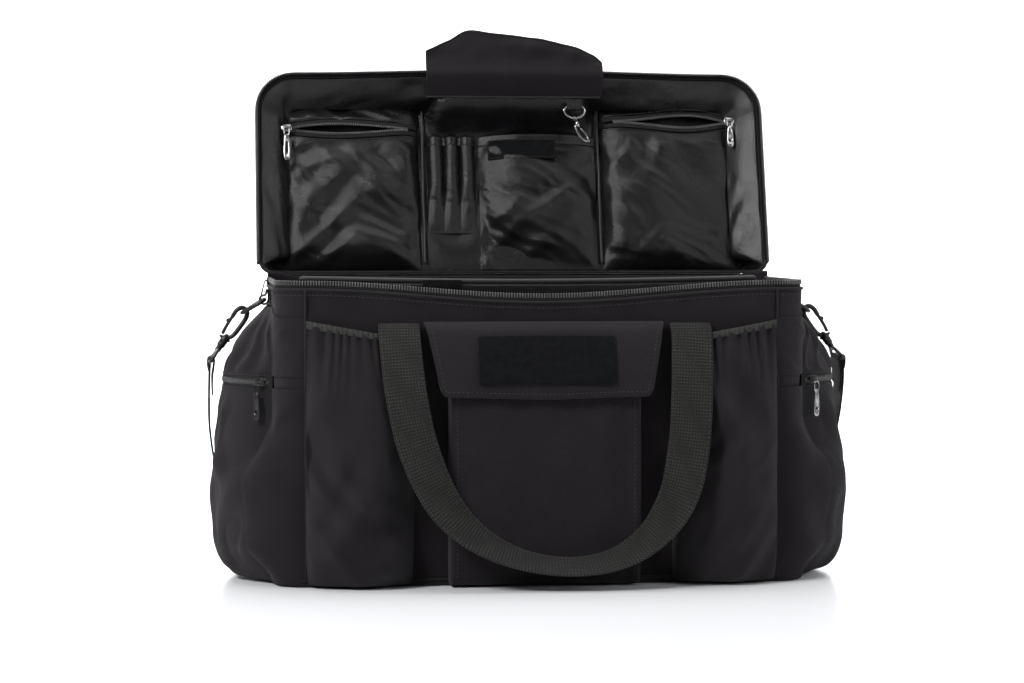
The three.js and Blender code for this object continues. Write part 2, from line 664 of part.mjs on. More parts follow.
function addLining() {
  const columns = [-228, -160, -88, -82, -76, -70, -30, 5, 40, 72, 78, 84, 90, 160, 228];
  const rows = [20, 80, 150, 157, 164, 171, 178, 184.6];
  const face = (depth) => rows.map((v) => columns.map((u) => onLid(u, v, depth - liningRise(u, v))));
  add('lid_lining', sheet(face(LINING_DEPTH - LINING_THICKNESS), face(LINING_DEPTH)), 'nylon', lid);
}

// A pocket wall on the lining. rise(across, up) takes -1 to 1 and 0 to 1, and gives its height.
function liningPocket(low, high, thickness, rise, columns, rows) {
  const base = LINING_DEPTH - LINING_THICKNESS - GAP;
  const face = (extra) =>
    rows.map((v) =>
      spread(low[0], high[0], columns).map((u) => {
        const across = (2 * (u - low[0])) / (high[0] - low[0]) - 1;
        const up = (v - low[1]) / (high[1] - low[1]);
        return onLid(u, v, base - rise(across, up) - extra);
      })
    );
  return sheet(face(thickness), face(0));
}

const ZIP_POCKETS = [
  { name: 'left', low: [-227, 22], high: [-90, 182], zip: [-219, -104], height: 157, parked: -222, pull: 34 },
  { name: 'right', low: [92, 22], high: [227, 182], zip: [108, 220], height: 166, parked: 223, pull: 28 },
];
const ZIP_POCKET_RISE = 11;
const LID_SLIDER = { length: 11, height: 8, depth: 4.5 };

function addZipPockets() {
  for (const { name, low, high, zip, height, parked, pull } of ZIP_POCKETS) {
    const rise = (across, up) => ZIP_POCKET_RISE * (1 - across ** 8) * (1 - (2 * up - 1) ** 8);
    const middle = (low[0] + high[0]) / 2;
    const half = (high[0] - low[0]) / 2;
    const rows = spread(low[1], high[1], 9);
    const wall = liningPocket(low, high, 1.2, rise, 9, rows);
    const mouth = new THREE.Shape();
    mouth.moveTo(zip[0], -height);
    mouth.quadraticCurveTo(middle, -height - 9, zip[1], -height);
    mouth.quadraticCurveTo(middle, -height + 9, zip[0], -height);
    add(`${name}_zip_pocket`, cut(wall, plate(mouth, 60, 5)), 'nylon', lid);

    const front = LINING_DEPTH - LINING_THICKNESS - GAP - 1.2 - ZIP_POCKET_RISE - 0.6;
    const across = (parked - middle) / half;
    const [left, right] = [parked - LID_SLIDER.length / 2, parked + LID_SLIDER.length / 2];
    const clear = Math.abs(across) < 1.2 ? front : LINING_DEPTH;
    const slider = box(
      [left, -height - LID_SLIDER.height / 2, LID_GAP + clear - LID_SLIDER.depth],
      [right, -height + LID_SLIDER.height / 2, LID_GAP + clear]
    );
    add(`${name}_pocket_slider`, slider, 'nickel', lid);
    const tab = pullTab(pull, 6.5, 1.4).rotateX(Math.PI / 2);
    tab.translate(parked, -height, LID_GAP + clear - LID_SLIDER.depth - 1.2);
    add(`${name}_pocket_pull`, tab, 'nickel', lid);
  }
}

function addOpenPockets() {
  const tubes = 3;
  const tube = (across) => Math.abs(Math.sin((Math.PI * tubes * (across + 1)) / 2));
  const penRise = (across, up) => 8 * tube(across) * smooth(up * 6);
  const penRows = [55, 59, 63, 69, 110, 150];
  const penPocket = liningPocket([-82, 55], [-34, 150], 0.9, penRise, 6 * tubes + 1, penRows);
  add('pen_pocket', penPocket, 'nylon', lid);
  const phoneRise = (across, up) => 13 * (1 - Math.abs(across) ** 3) * smooth(up * 2.4);
  const phoneRows = spread(20, 150, 9);
  add('phone_pocket', liningPocket([-31, 20], [88, 150], 1.1, phoneRise, 13, phoneRows), 'nylon', lid);
}

function addOrganiserFlap() {
  // The top edge of the flap, from its left side to its right.
  const top = [[-84, 228], [-62, 238], [-43, 248], [-22, 245], [14, 241], [56, 234], [82, 225], [92, 218]];
  const thickness = 1.2;
  const face = (offset) =>
    top.map(([u, high]) => {
      const over = -LID_GAP - rimSag(u);
      const lip = [[FLAP_SEAM.v + 0.8, FLAP_SEAM.d - 1.2], [203, over], [213, over], [high, over]];
      return lip.map(([v, d], i) => onLid(u, i === 1 ? v + offset * 0.5 : v, d + offset - (i ? 0 : 1)));
    });
  add('organiser_flap', sheet(face(-thickness / 2), face(thickness / 2)), 'twill', lid);
}

const KEY_HOOK = { u: 64, v: 174, d: 2.4, tilt: -24 };

function addKeyHook() {
  const { u, v, d, tilt } = KEY_HOOK;
  const wire = 1.2;
  const width = 15;
  const profile = new THREE.Shape();
  profile.moveTo(v + 7.5, d + 2.4);
  profile.lineTo(v + 7.5, d + 5.4);
  profile.lineTo(v + 5, d + 5.4);
  profile.absarc(v, d, 2.8, radians(55), radians(305));
  const bore = new THREE.Path();
  bore.absarc(v, d, wire + 0.4, 0, Math.PI * 2, true);
  profile.holes.push(bore);
  const tab = plate(profile, width, 5);
  // Profile X is v and Y is d; the extrusion runs along u.
  const turn = new THREE.Matrix4().makeBasis(point(0, -1, 0), point(0, 0, 1), point(-1, 0, 0));
  tab.applyMatrix4(turn).translate(u + width / 2, 0, LID_GAP);
  add('key_tab', tab, 'webbing', lid);

  const ring = [
    [-9, 0], [-3, 0], [3, 0], [9, 0], [10.5, -2.5], [8, -8], [0, -11.5], [-8, -8], [-10.5, -2.5],
  ].map(([across, down]) => onLid(u + across, v + down, d));
  add('key_ring', loop(ring, wire, 22), 'nickel', lid);

  // The hook hangs in its ring and turns about the point where they touch.
  const pivot = onLid(u, v - 12.1, d);
  const place = (down, square, depth = 0) => {
    const angle = radians(tilt);
    const along = point(-Math.sin(angle), Math.cos(angle), 0);
    const sideways = point(Math.cos(angle), Math.sin(angle), 0);
    const onLine = pivot.clone().addScaledVector(along, down);
    return onLine.addScaledVector(sideways, square).add(point(0, 0, depth));
  };
  const eyeRound = [[0, -3.6], [3.2, 0], [0, 3.6], [-3.2, 0]];
  const eye = loop(eyeRound.map(([down, depth]) => place(down, 0, depth)), 0.9, 12);
  const bend = [[2.9, 0], [7, 0], [9, -3.6], [14, -5], [22, -4.4], [25.5, 0], [23, 4.2], [19, 4.8]];
  const hook = rod(bend.map((p) => place(...p)), 1.2, 13);
  add('key_hook', joined(eye, hook), 'nickel', lid);
  const gate = rod([[18.2, 4.7], [14, 4.4], [10.4, 1.6]].map((p) => place(...p)), 0.9, 4);
  add('key_hook_gate', gate, 'nickel', lid);
}

addBody();
addDivider();
addElasticPockets();
addCentrePocket();
addHandle('front_handle', FRONT_HANDLE, -1);
addHandle('back_handle', BACK_HANDLE, 1);
addEndPockets();
addMainSliders();
addStrapHardware();
addStrap();
addLidShell();
addLining();
addZipPockets();
addOpenPockets();
addOrganiserFlap();
addKeyHook();

export default bag;
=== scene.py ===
import math

import bpy
import numpy as np
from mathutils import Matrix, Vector, noise
from mathutils.bvhtree import BVHTree


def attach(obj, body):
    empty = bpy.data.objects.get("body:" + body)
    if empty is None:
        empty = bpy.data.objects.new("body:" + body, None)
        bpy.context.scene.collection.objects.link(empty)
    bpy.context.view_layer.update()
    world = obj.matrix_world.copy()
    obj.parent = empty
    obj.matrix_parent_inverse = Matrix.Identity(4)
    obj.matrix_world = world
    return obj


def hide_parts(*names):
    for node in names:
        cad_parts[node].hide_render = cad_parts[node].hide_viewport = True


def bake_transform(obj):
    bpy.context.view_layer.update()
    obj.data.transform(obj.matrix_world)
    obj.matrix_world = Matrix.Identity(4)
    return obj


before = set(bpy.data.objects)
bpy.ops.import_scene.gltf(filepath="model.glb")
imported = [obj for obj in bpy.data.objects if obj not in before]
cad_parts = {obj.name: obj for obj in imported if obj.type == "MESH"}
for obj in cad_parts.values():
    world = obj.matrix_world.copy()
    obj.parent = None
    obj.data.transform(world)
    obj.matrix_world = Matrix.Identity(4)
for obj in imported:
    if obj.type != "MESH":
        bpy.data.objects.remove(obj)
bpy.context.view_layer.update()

SCENE = bpy.context.scene
MM = 0.001
X_AXIS, Y_AXIS, Z_AXIS = Vector((1, 0, 0)), Vector((0, 1, 0)), Vector((0, 0, 1))
BOX_AXES = (X_AXIS, Y_AXIS, Z_AXIS)
STITCH_SINK = 0.45

# The bag's own sizes, in millimetres, as in the design.
HALF_LENGTH, HALF_DEPTH, CORNER, RIM, SAG = 244.0, 108.0, 28.0, 269.0, 12.0
STRAP_WIDTH = 38.0
HINGE_Z, LEAN, LID_GAP, TRAY, LINING = 277.5, math.radians(16), 1.3, 38.0, 36.0
EDGE = dict(half=255, rear=0, front=211, small=13, round=40)
TOP = dict(half=238, rear=12, front=199, small=14, round=30)


# ---- Small helpers ----

def lerp(a, b, t):
    return a + (b - a) * t


def smooth(t):
    t = min(1.0, max(0.0, t))
    return t * t * (3 - 2 * t)


def profile(rows, at):
    """Values between listed rows, each (position, value, ...), smoothly interpolated."""
    at = min(max(at, rows[0][0]), rows[-1][0])
    k = max(i for i in range(len(rows) - 1) if rows[i][0] <= at)
    before, a, b, after = (rows[min(max(i, 0), len(rows) - 1)] for i in (k - 1, k, k + 1, k + 2))
    t = (at - a[0]) / (b[0] - a[0])
    values = []
    for p, q, r, s in zip(before[1:], a[1:], b[1:], after[1:]):
        left = (r - p) / max(b[0] - before[0], 1e-6) * (b[0] - a[0])
        right = (s - q) / max(after[0] - a[0], 1e-6) * (b[0] - a[0])
        h = t * t * (3 - 2 * t)
        values.append(q + (r - q) * h + left * (t ** 3 - 2 * t ** 2 + t) * 0.8
            + right * (t ** 3 - t ** 2) * 0.8)
    return values


def curve(points, per=8, closed=False):
    """Centripetal Catmull-Rom points through the listed ones."""
    pts = [Vector(p) for p in points]
    n = len(pts)
    out = []
    for i in range(n if closed else n - 1):
        if closed:
            p = [pts[(i + k) % n] for k in (-1, 0, 1, 2)]
        else:
            p = [pts[min(max(i + k, 0), n - 1)] for k in (-1, 0, 1, 2)]
            if i == 0:
                p[0] = 2 * p[1] - p[2]
            if i == n - 2:
                p[3] = 2 * p[2] - p[1]
        t = [0.0]
        for a, b in zip(p, p[1:]):
            t.append(t[-1] + max((b - a).length, 1e-6) ** 0.5)
        for k in range(per):
            u = lerp(t[1], t[2], k / per)
            a1 = p[0].lerp(p[1], (u - t[0]) / (t[1] - t[0]))
            a2 = p[1].lerp(p[2], (u - t[1]) / (t[2] - t[1]))
            a3 = p[2].lerp(p[3], (u - t[2]) / (t[3] - t[2]))
            b1 = a1.lerp(a2, (u - t[0]) / (t[2] - t[0]))
            b2 = a2.lerp(a3, (u - t[1]) / (t[3] - t[1]))
            out.append(b1.lerp(b2, (u - t[1]) / (t[2] - t[1])))
    if not closed:
        out.append(pts[-1])
    return out


def on_lid(u, v, d):
    """A place on the lid, in mm: across, up from the hinge, and in from the zip plane."""
    s, c = math.sin(LEAN), math.cos(LEAN)
    return Vector((u, HALF_DEPTH + s * v + c * (LID_GAP + d), HINGE_Z + c * v - s * (LID_GAP + d)))


LID_IN = Vector((0, math.cos(LEAN), -math.sin(LEAN)))


def rim_sag(x):
    return SAG * math.cos(math.pi * x / 440) ** 2 if abs(x) < 220 else 0.0


def wander(p, scale, seed=0.0):
    """Smooth noise from -1 to 1 at a place given in mm."""
    return noise.noise(Vector((p[0] / scale + seed, p[1] / scale - 2 * seed, p[2] / scale + 3.1 * seed)))


def new_object(name, vertices, faces, material, uvs=None):
    mesh = bpy.data.meshes.new(name)
    mesh.from_pydata([tuple(Vector(v) * MM) for v in vertices], [], faces)
    if uvs is not None:
        layer = mesh.uv_layers.new(name="weave")
        index = np.zeros(len(mesh.loops), int)
        mesh.loops.foreach_get("vertex_index", index)
        layer.data.foreach_set("uv", (np.array(uvs, float) * MM)[index].ravel())
    mesh.polygons.foreach_set("use_smooth", [True] * len(mesh.polygons))
    mesh.materials.append(material)
    obj = bpy.data.objects.new(name, mesh)
    SCENE.collection.objects.link(obj)
    return obj


def apply_all(obj):
    """Applies every modifier to the object's own mesh."""
    graph = bpy.context.evaluated_depsgraph_get()
    done = bpy.data.meshes.new_from_object(obj.evaluated_get(graph), preserve_all_data_layers=True,
        depsgraph=graph)
    obj.modifiers.clear()
    old = obj.data
    obj.data = done
    done.name = obj.name
    if not old.users:
        bpy.data.meshes.remove(old)
    return obj


def thicken(obj, thickness, offset=-1.0, levels=0):
    shell = obj.modifiers.new("thickness", "SOLIDIFY")
    shell.thickness = thickness * MM
    shell.offset = offset
    shell.use_even_offset = False
    if levels:
        sub = obj.modifiers.new("smooth", "SUBSURF")
        sub.levels = sub.render_levels = levels
    apply_all(obj)
    obj.data.polygons.foreach_set("use_smooth", [True] * len(obj.data.polygons))
    return obj


def sheet_faces(columns, rows):
    return [(j * columns + i, j * columns + i + 1, (j + 1) * columns + i + 1, (j + 1) * columns + i)
            for j in range(rows - 1) for i in range(columns - 1)]


def ring_faces(count, rows, flipped=False):
    """Faces between closed rings of count points; flipped turns them over."""
    faces = []
    for j in range(rows - 1):
        for k in range(count):
            a, b = j * count + k, j * count + (k + 1) % count
            faces.append((a, a + count, b + count, b) if flipped else (a, b, b + count, a + count))
    return faces


def grid(name, place, columns, rows, material, size):
    """A sheet from place(s, t), with UVs that run size = (width, height) in mm."""
    vertices, uvs = [], []
    for j in range(rows):
        for i in range(columns):
            s, t = i / (columns - 1), j / (rows - 1)
            vertices.append(place(s, t))
            uvs.append((s * size[0], t * size[1]))
    return new_object(name, vertices, sheet_faces(columns, rows), material, uvs)


def cloth(obj, rest, held, pressure=0.0, cap=9.0, frames=22, bending=0.4, limit=None):
    """Lets a sheet buckle. rest gives the cut's own places for its spring lengths, held is a list of pin weights."""
    start = np.array([v.co for v in obj.data.vertices], float)
    obj.shape_key_add(name="Basis")
    cut = obj.shape_key_add(name="cut")
    cut.data.foreach_set("co", (np.array([tuple(p) for p in rest], float) * MM).ravel())
    cut.value = 0.0
    group = obj.vertex_groups.new(name="held")
    for i, weight in enumerate(held):
        if weight > 0:
            group.add([i], weight, "REPLACE")
    sim = obj.modifiers.new("cloth", "CLOTH")
    s = sim.settings
    s.quality = 5
    s.mass = 0.25
    s.air_damping = 1.0
    s.tension_stiffness = s.compression_stiffness = 18
    s.shear_stiffness = 9
    s.bending_stiffness = bending
    s.tension_damping = s.compression_damping = s.shear_damping = 12
    s.vertex_group_mass = "held"
    s.rest_shape_key = cut
    s.effector_weights.gravity = 0.0
    if pressure:
        s.use_pressure = True
        s.uniform_pressure_force = pressure
    sim.collision_settings.use_collision = False
    sim.point_cache.frame_start = 1
    sim.point_cache.frame_end = frames
    for f in range(1, frames + 1):
        SCENE.frame_set(f)
    graph = bpy.context.evaluated_depsgraph_get()
    out = obj.evaluated_get(graph).data
    end = np.array([v.co for v in out.vertices], float)
    obj.modifiers.clear()
    obj.shape_key_clear()
    obj.vertex_groups.clear()
    move = end - start
    far = np.linalg.norm(move, axis=1)
    soft = cap * MM * np.tanh(far / (cap * MM)) / np.maximum(far, 1e-9)
    move *= soft[:, None]
    end = start + move
    if limit is not None:
        end = limit(end / MM) * MM
    obj.data.vertices.foreach_set("co", end.ravel())
    obj.data.update()
    SCENE.frame_set(1)
    return obj


def merged(name, pieces, material):
    """One object from lists of (vertices, faces)."""
    vertices, faces = [], []
    for vs, fs in pieces:
        base = len(vertices)
        vertices += list(vs)
        faces += [tuple(base + i for i in f) for f in fs]
    return new_object(name, vertices, faces, material)


def frames_along(points, closed=False):
    """Tangent and two square directions at each point, turned as little as possible along the way."""
    n = len(points)
    result = []
    previous = None
    for i in range(n):
        a = points[(i - 1) % n] if closed else points[max(i - 1, 0)]
        b = points[(i + 1) % n] if closed else points[min(i + 1, n - 1)]
        tangent = (b - a).normalized()
        if previous is None:
            guide = Vector((0, 0, 1)) if abs(tangent.z) < 0.8 else Vector((0, 1, 0))
            side = (guide - tangent * guide.dot(tangent)).normalized()
        else:
            side = (previous - tangent * previous.dot(tangent)).normalized()
        previous = side
        result.append((tangent, side, tangent.cross(side)))
    return result


def tube(points, radius, closed=False, sides=10, rounded=True):
    """(vertices, faces) of a round bar. radius is a number or one for each point."""
    n = len(points)
    radii = radius if isinstance(radius, (list, tuple)) else [radius] * n
    axes = frames_along(points, closed)
    vertices, faces = [], []
    rings = [(points[i], axes[i], radii[i]) for i in range(n)]
    if not closed and rounded:
        t0, t1 = axes[0][0], axes[-1][0]
        cap0 = [(points[0] - t0 * radii[0] * math.sin(a), axes[0], radii[0] * math.cos(a))
            for a in (1.2, 0.6)]
        cap1 = [(points[-1] + t1 * radii[-1] * math.sin(a), axes[-1], radii[-1] * math.cos(a))
            for a in (0.6, 1.2)]
        rings = cap0 + rings + cap1
    for centre, (_, side, other), r in rings:
        for k in range(sides):
            a = 2 * math.pi * k / sides
            vertices.append(centre + side * (r * math.cos(a)) + other * (r * math.sin(a)))
    m = len(rings)
    for i in range(m if closed else m - 1):
        # A closed loop joins its last ring to the first at the best-matching corner.
        shift = 0
        if closed and i == m - 1:
            shift = min(range(sides), key=lambda k: (vertices[k] - vertices[i * sides]).length)
        for k in range(sides):
            j = (k + 1) % sides
            nxt = ((i + 1) % m) * sides
            faces.append((i * sides + k, i * sides + j, nxt + (j + shift) % sides, nxt + (k + shift) % sides))
    if not closed:
        faces.append(tuple(range(sides - 1, -1, -1)))
        faces.append(tuple(range((m - 1) * sides, m * sides)))
    return vertices, faces


def block(centre, axes, size, bevel=0.25):
    """(vertices, faces) of a small block with its edges taken off; axes are three directions."""
    a, b, c = (Vector(x) for x in axes)
    hx, hy, hz = (h / 2 for h in size)
    e = min(bevel, 0.45 * min(hx, hy, hz) * 2)
    rings = []
    for z, shrink in ((-hz, e), (-hz + e, 0), (hz - e, 0), (hz, e)):
        x, y = hx - shrink, hy - shrink
        q = e * 0.8
        corners = [(-x + q, -y), (x - q, -y), (x, -y + q), (x, y - q), (x - q, y), (-x + q, y), (-x, y - q),
            (-x, -y + q)]
        rings.append([Vector(centre) + a * p + b * r + c * z for p, r in corners])
    vertices = [v for ring in rings for v in ring]
    return vertices, ring_faces(8, 4) + [tuple(range(7, -1, -1)), tuple(range(24, 32))]


def stitches(name, lines, material, normal, length=2.6, gap=1.5, width=0.55):
    """A row of thread stitches along each line of points; normal(point) gives the way out of the cloth."""
    pieces = []
    for line in lines:
        pts = [Vector(p) for p in line]
        spans = [(b - a).length for a, b in zip(pts, pts[1:])]
        total = sum(spans)
        count = max(int(total / (length + gap)), 1)
        step = total / count

        def at(distance):
            for k, span in enumerate(spans):
                if distance <= span or k == len(spans) - 1:
                    return pts[k].lerp(pts[k + 1], min(distance / max(span, 1e-9), 1))
                distance -= span

        for i in range(count):
            a, b = at(i * step + gap / 2), at((i + 1) * step - gap / 2)
            out = normal((a + b) / 2)
            a, b = a - out * STITCH_SINK, b - out * STITCH_SINK
            m1, m2 = a.lerp(b, 0.22) + out * 0.5, a.lerp(b, 0.78) + out * 0.5
            pieces.append(tube([a, m1, m2, b], [width * 0.3, width / 2, width / 2, width * 0.3], False, 6,
                False))
    return merged(name, pieces, material)


def teeth(line, up, out, pitch=2.0, size=(1.25, 3.0, 2.3), offset=0.0):
    """Pieces of a row of zip teeth along a line; up(point) points from the tape over its edge."""
    pts = [Vector(p) for p in line]
    pieces = []
    carried = pitch / 2 + offset
    for a, b in zip(pts, pts[1:]):
        span = (b - a).length
        along = (b - a).normalized()
        while carried <= span:
            p = a + along * carried
            over = up(p)
            face = out(p)
            over = (over - along * over.dot(along)).normalized()
            face = along.cross(over) * (1 if along.cross(over).dot(face) > 0 else -1)
            pieces.append(block(p, (along, over, face), size, 0.35))
            carried += pitch
        carried -= span
    return pieces


# ---- Materials ----

def nodes_of(name):
    material = bpy.data.materials.new(name)
    material.use_nodes = True
    tree = material.node_tree
    shader = next(n for n in tree.nodes if n.type == "BSDF_PRINCIPLED")
    return material, tree, shader


def make_material(name, base, light, rough, metal=0.0, sheen=0.0, specular=0.5, uv=True,
                  ribs=(), grains=(), patches=45.0, rough_range=0.08, bump=0.6, rib_colour=0.0):
    """A procedural finish. ribs are (period in mm, angle in degrees, weight); grains are (size in mm, weight)."""
    material, tree, shader = nodes_of(name)
    link = tree.links.new

    def node(kind, **settings):
        n = tree.nodes.new(kind)
        for key, value in settings.items():
            setattr(n, key, value)
        return n

    place = node("ShaderNodeTexCoord").outputs["Object"]
    place_weave = node("ShaderNodeUVMap", uv_map="weave").outputs["UV"] if uv else place

    def maths(operation, a, b):
        n = node("ShaderNodeMath", operation=operation)
        for socket, value in zip(n.inputs, (a, b)):
            if isinstance(value, (int, float)):
                socket.default_value = value
            else:
                link(value, socket)
        return n.outputs[0]

    height = None
    woven = None
    for period, angle, weight in ribs:
        turn = node("ShaderNodeMapping")
        a = math.radians(angle)
        turn.inputs["Rotation"].default_value = (0, 0, a) if uv else (a, a, a)
        link(place_weave, turn.inputs["Vector"])
        wave = node("ShaderNodeTexWave", wave_type="BANDS", bands_direction="X", wave_profile="SIN")
        wave.inputs["Scale"].default_value = 0.3142 / (period * MM)
        wave.inputs["Distortion"].default_value = 0.6
        wave.inputs["Detail"].default_value = 1.0
        wave.inputs["Detail Scale"].default_value = 0.6
        link(turn.outputs[0], wave.inputs["Vector"])
        woven = wave.outputs["Fac"] if woven is None else maths("MULTIPLY", woven, wave.outputs["Fac"])
        part = maths("MULTIPLY", wave.outputs["Fac"], weight)
        height = part if height is None else maths("ADD", height, part)
    for size, weight in grains:
        grain = node("ShaderNodeTexNoise")
        grain.inputs["Scale"].default_value = 1 / (size * MM)
        grain.inputs["Detail"].default_value = 3
        link(place, grain.inputs["Vector"])
        part = maths("MULTIPLY", grain.outputs["Fac"], weight)
        height = part if height is None else maths("ADD", height, part)

    patch = node("ShaderNodeTexNoise")
    patch.inputs["Scale"].default_value = 1 / (patches * MM)
    patch.inputs["Detail"].default_value = 4
    patch.inputs["Roughness"].default_value = 0.65
    link(place, patch.inputs["Vector"])
    mixed = patch.outputs["Fac"]
    if rib_colour and woven is not None:
        mixed = maths("ADD", maths("MULTIPLY", patch.outputs["Fac"], 1 - rib_colour),
            maths("MULTIPLY", woven, rib_colour))
    ramp = node("ShaderNodeValToRGB")
    ramp.color_ramp.elements[0].position = 0.25
    ramp.color_ramp.elements[1].position = 0.78
    ramp.color_ramp.elements[0].color = (*base, 1)
    ramp.color_ramp.elements[1].color = (*light, 1)
    link(mixed, ramp.inputs["Fac"])
    link(ramp.outputs["Color"], shader.inputs["Base Color"])
    level = maths("ADD", maths("MULTIPLY", patch.outputs["Fac"], rough_range), rough - rough_range / 2)
    link(level, shader.inputs["Roughness"])
    shader.inputs["Metallic"].default_value = metal
    shader.inputs["Specular IOR Level"].default_value = specular
    if sheen:
        shader.inputs["Sheen Weight"].default_value = sheen
        shader.inputs["Sheen Roughness"].default_value = 0.5
        shader.inputs["Sheen Tint"].default_value = (0.62, 0.58, 0.62, 1)
    if height is not None:
        relief = node("ShaderNodeBump")
        relief.inputs["Strength"].default_value = bump
        relief.inputs["Distance"].default_value = 0.35 * MM
        link(height, relief.inputs["Height"])
        link(relief.outputs["Normal"], shader.inputs["Normal"])
    return material


TWILL = make_material("twill", (0.0058, 0.0046, 0.0056), (0.0152, 0.0124, 0.0146), 0.9, sheen=0.07,
    specular=0.15,
                      ribs=((1.3, 42, 1.0), (0.9, -48, 0.5)), grains=((0.6, 0.6), (2.5, 0.45)),
                      rib_colour=0.55, bump=0.8)
TWILL_PLAIN = make_material("twill_binding", (0.0066, 0.0058, 0.0064), (0.0128, 0.0114, 0.0124), 0.85,
    sheen=0.06,
                            specular=0.16, uv=False, ribs=((0.9, 45, 0.6),), grains=((0.5, 0.4),))
NYLON = make_material("nylon", (0.0020, 0.0018, 0.0021), (0.0046, 0.0042, 0.0048), 0.26, specular=0.27,
                      ribs=((0.6, 0, 0.16), (0.6, 90, 0.16)), grains=((5.0, 1.0), (1.6, 0.35)),
                      rough_range=0.12, bump=0.75)
NYLON_PLAIN = make_material("nylon_binding", (0.0050, 0.0048, 0.0053), (0.0090, 0.0086, 0.0094), 0.5,
    specular=0.35,
                            uv=False, grains=((1.5, 0.5), (0.5, 0.3)))
WEBBING = make_material("webbing", (0.0075, 0.0074, 0.0068), (0.038, 0.0375, 0.034), 0.8, sheen=0.06,
    specular=0.16,
                        ribs=((2.6, 0, 1.1), (3.0, 90, 1.3), (2.0, 45, 0.9)), grains=((0.6, 0.5),),
                        patches=24,
                        rib_colour=0.6, bump=1.0)
LOOP = make_material("loop_pile", (0.0018, 0.0020, 0.0022), (0.0056, 0.0060, 0.0064), 1.0, sheen=0.04,
    specular=0.06,
                     uv=False, grains=((0.5, 1.0), (1.4, 0.8)), patches=6, bump=1.0)
ELASTIC = make_material("elastic", (0.016, 0.016, 0.0146), (0.052, 0.052, 0.047), 0.85, sheen=0.06,
    specular=0.2,
                        ribs=((1.1, 0, 1.2), (0.7, 90, 0.4)), grains=((0.5, 0.3),), patches=12,
                        rib_colour=0.5)
ZIP_TAPE = make_material("zip_tape", (0.0042, 0.0042, 0.0045), (0.0090, 0.0090, 0.0094), 0.75, specular=0.2,
                         uv=False, ribs=((0.7, 40, 0.6),), grains=((0.4, 0.4),), patches=15)
ZIP_TEETH = make_material("zip_teeth", (0.028, 0.028, 0.029), (0.085, 0.084, 0.086), 0.3, metal=0.35,
    specular=0.6,
                          uv=False, grains=((0.8, 0.3),), patches=9)
BOARD = make_material("board", (0.022, 0.022, 0.024), (0.032, 0.032, 0.034), 0.55, uv=False,
                      grains=((1.2, 0.8), (0.4, 0.3)))
BLACK_METAL = make_material("black_metal", (0.010, 0.010, 0.0105), (0.045, 0.044, 0.042), 0.33, metal=0.85,
                            uv=False, grains=((3.0, 0.15), (0.6, 0.08)), patches=7, rough_range=0.2, bump=0.3)
NICKEL = make_material("nickel", (0.17, 0.17, 0.168), (0.36, 0.356, 0.345), 0.24, metal=1.0, uv=False,
                       grains=((2.0, 0.12), (0.5, 0.06)), patches=6, rough_range=0.16, bump=0.25)
THREAD = make_material("thread", (0.0052, 0.0050, 0.0053), (0.0135, 0.0130, 0.0135), 0.7, sheen=0.1, uv=False,
                       ribs=((0.4, 30, 0.5),), grains=((0.3, 0.3),), patches=8)

WEBBING_PLAIN = make_material("webbing_tab", (0.0085, 0.0085, 0.0078), (0.034, 0.034, 0.031), 0.8,
    sheen=0.06, specular=0.16,
                              uv=False, ribs=((1.8, 0, 1.0),), grains=((0.6, 0.6),), patches=12,
                              rib_colour=0.5, bump=1.0)


# ---- Camera and light ----

def aim(obj, place, target):
    obj.location = place
    obj.rotation_euler = (Vector(target) - Vector(place)).to_track_quat("-Z", "Y").to_euler()
    SCENE.collection.objects.link(obj)


camera = bpy.data.objects.new("camera", bpy.data.cameras.new("camera"))
camera.data.lens = 104.6
camera.data.sensor_width = 36
camera.data.clip_end = 60
eye = Vector((-0.3314, -2.7873, 0.3278))
aim(camera, eye, eye + Vector((0.11215, 0.99293, -0.03943)))
SCENE.camera = camera


def softbox(name, place, target, size, power):
    light = bpy.data.lights.new(name, "AREA")
    light.shape = "RECTANGLE"
    light.size, light.size_y = size
    light.energy = power
    aim(bpy.data.objects.new(name, light), place, target)


softbox("key", (-1.7, -1.5, 1.9), (0, 0, 0.22), (0.8, 0.8), 84)
softbox("fill", (1.9, -1.6, 1.2), (0, 0, 0.2), (0.9, 1.3), 20)
softbox("top", (0.1, 0.2, 2.1), (0, 0, 0.2), (2.0, 1.4), 34)
softbox("back", (0.2, 2.2, 1.5), (0, 0, 0.3), (2.2, 1.2), 18)
softbox("backdrop", (0.0, 1.9, 2.4), (0.3, 4.0, 1.0), (3.4, 1.0), 190)


def studio_world():
    """A white cyclorama behind the bag, and a dimmer room in front of it."""
    made = bpy.data.worlds.new("studio")
    made.use_nodes = True
    tree = made.node_tree
    place = tree.nodes.new("ShaderNodeTexCoord")
    split = tree.nodes.new("ShaderNodeSeparateXYZ")
    tree.links.new(place.outputs["Generated"], split.inputs[0])
    turn = tree.nodes.new("ShaderNodeMapRange")
    turn.interpolation_type = "SMOOTHSTEP"
    turn.inputs["From Min"].default_value = -0.25
    turn.inputs["From Max"].default_value = 0.45
    turn.inputs["To Min"].default_value = 0.3
    turn.inputs["To Max"].default_value = 1.08
    tree.links.new(split.outputs["Y"], turn.inputs["Value"])
    background = tree.nodes["Background"]
    background.inputs["Color"].default_value = (0.97, 0.975, 0.985, 1)
    tree.links.new(turn.outputs["Result"], background.inputs["Strength"])
    return made


SCENE.world = studio_world()
SCENE.view_settings.view_transform = "Standard"


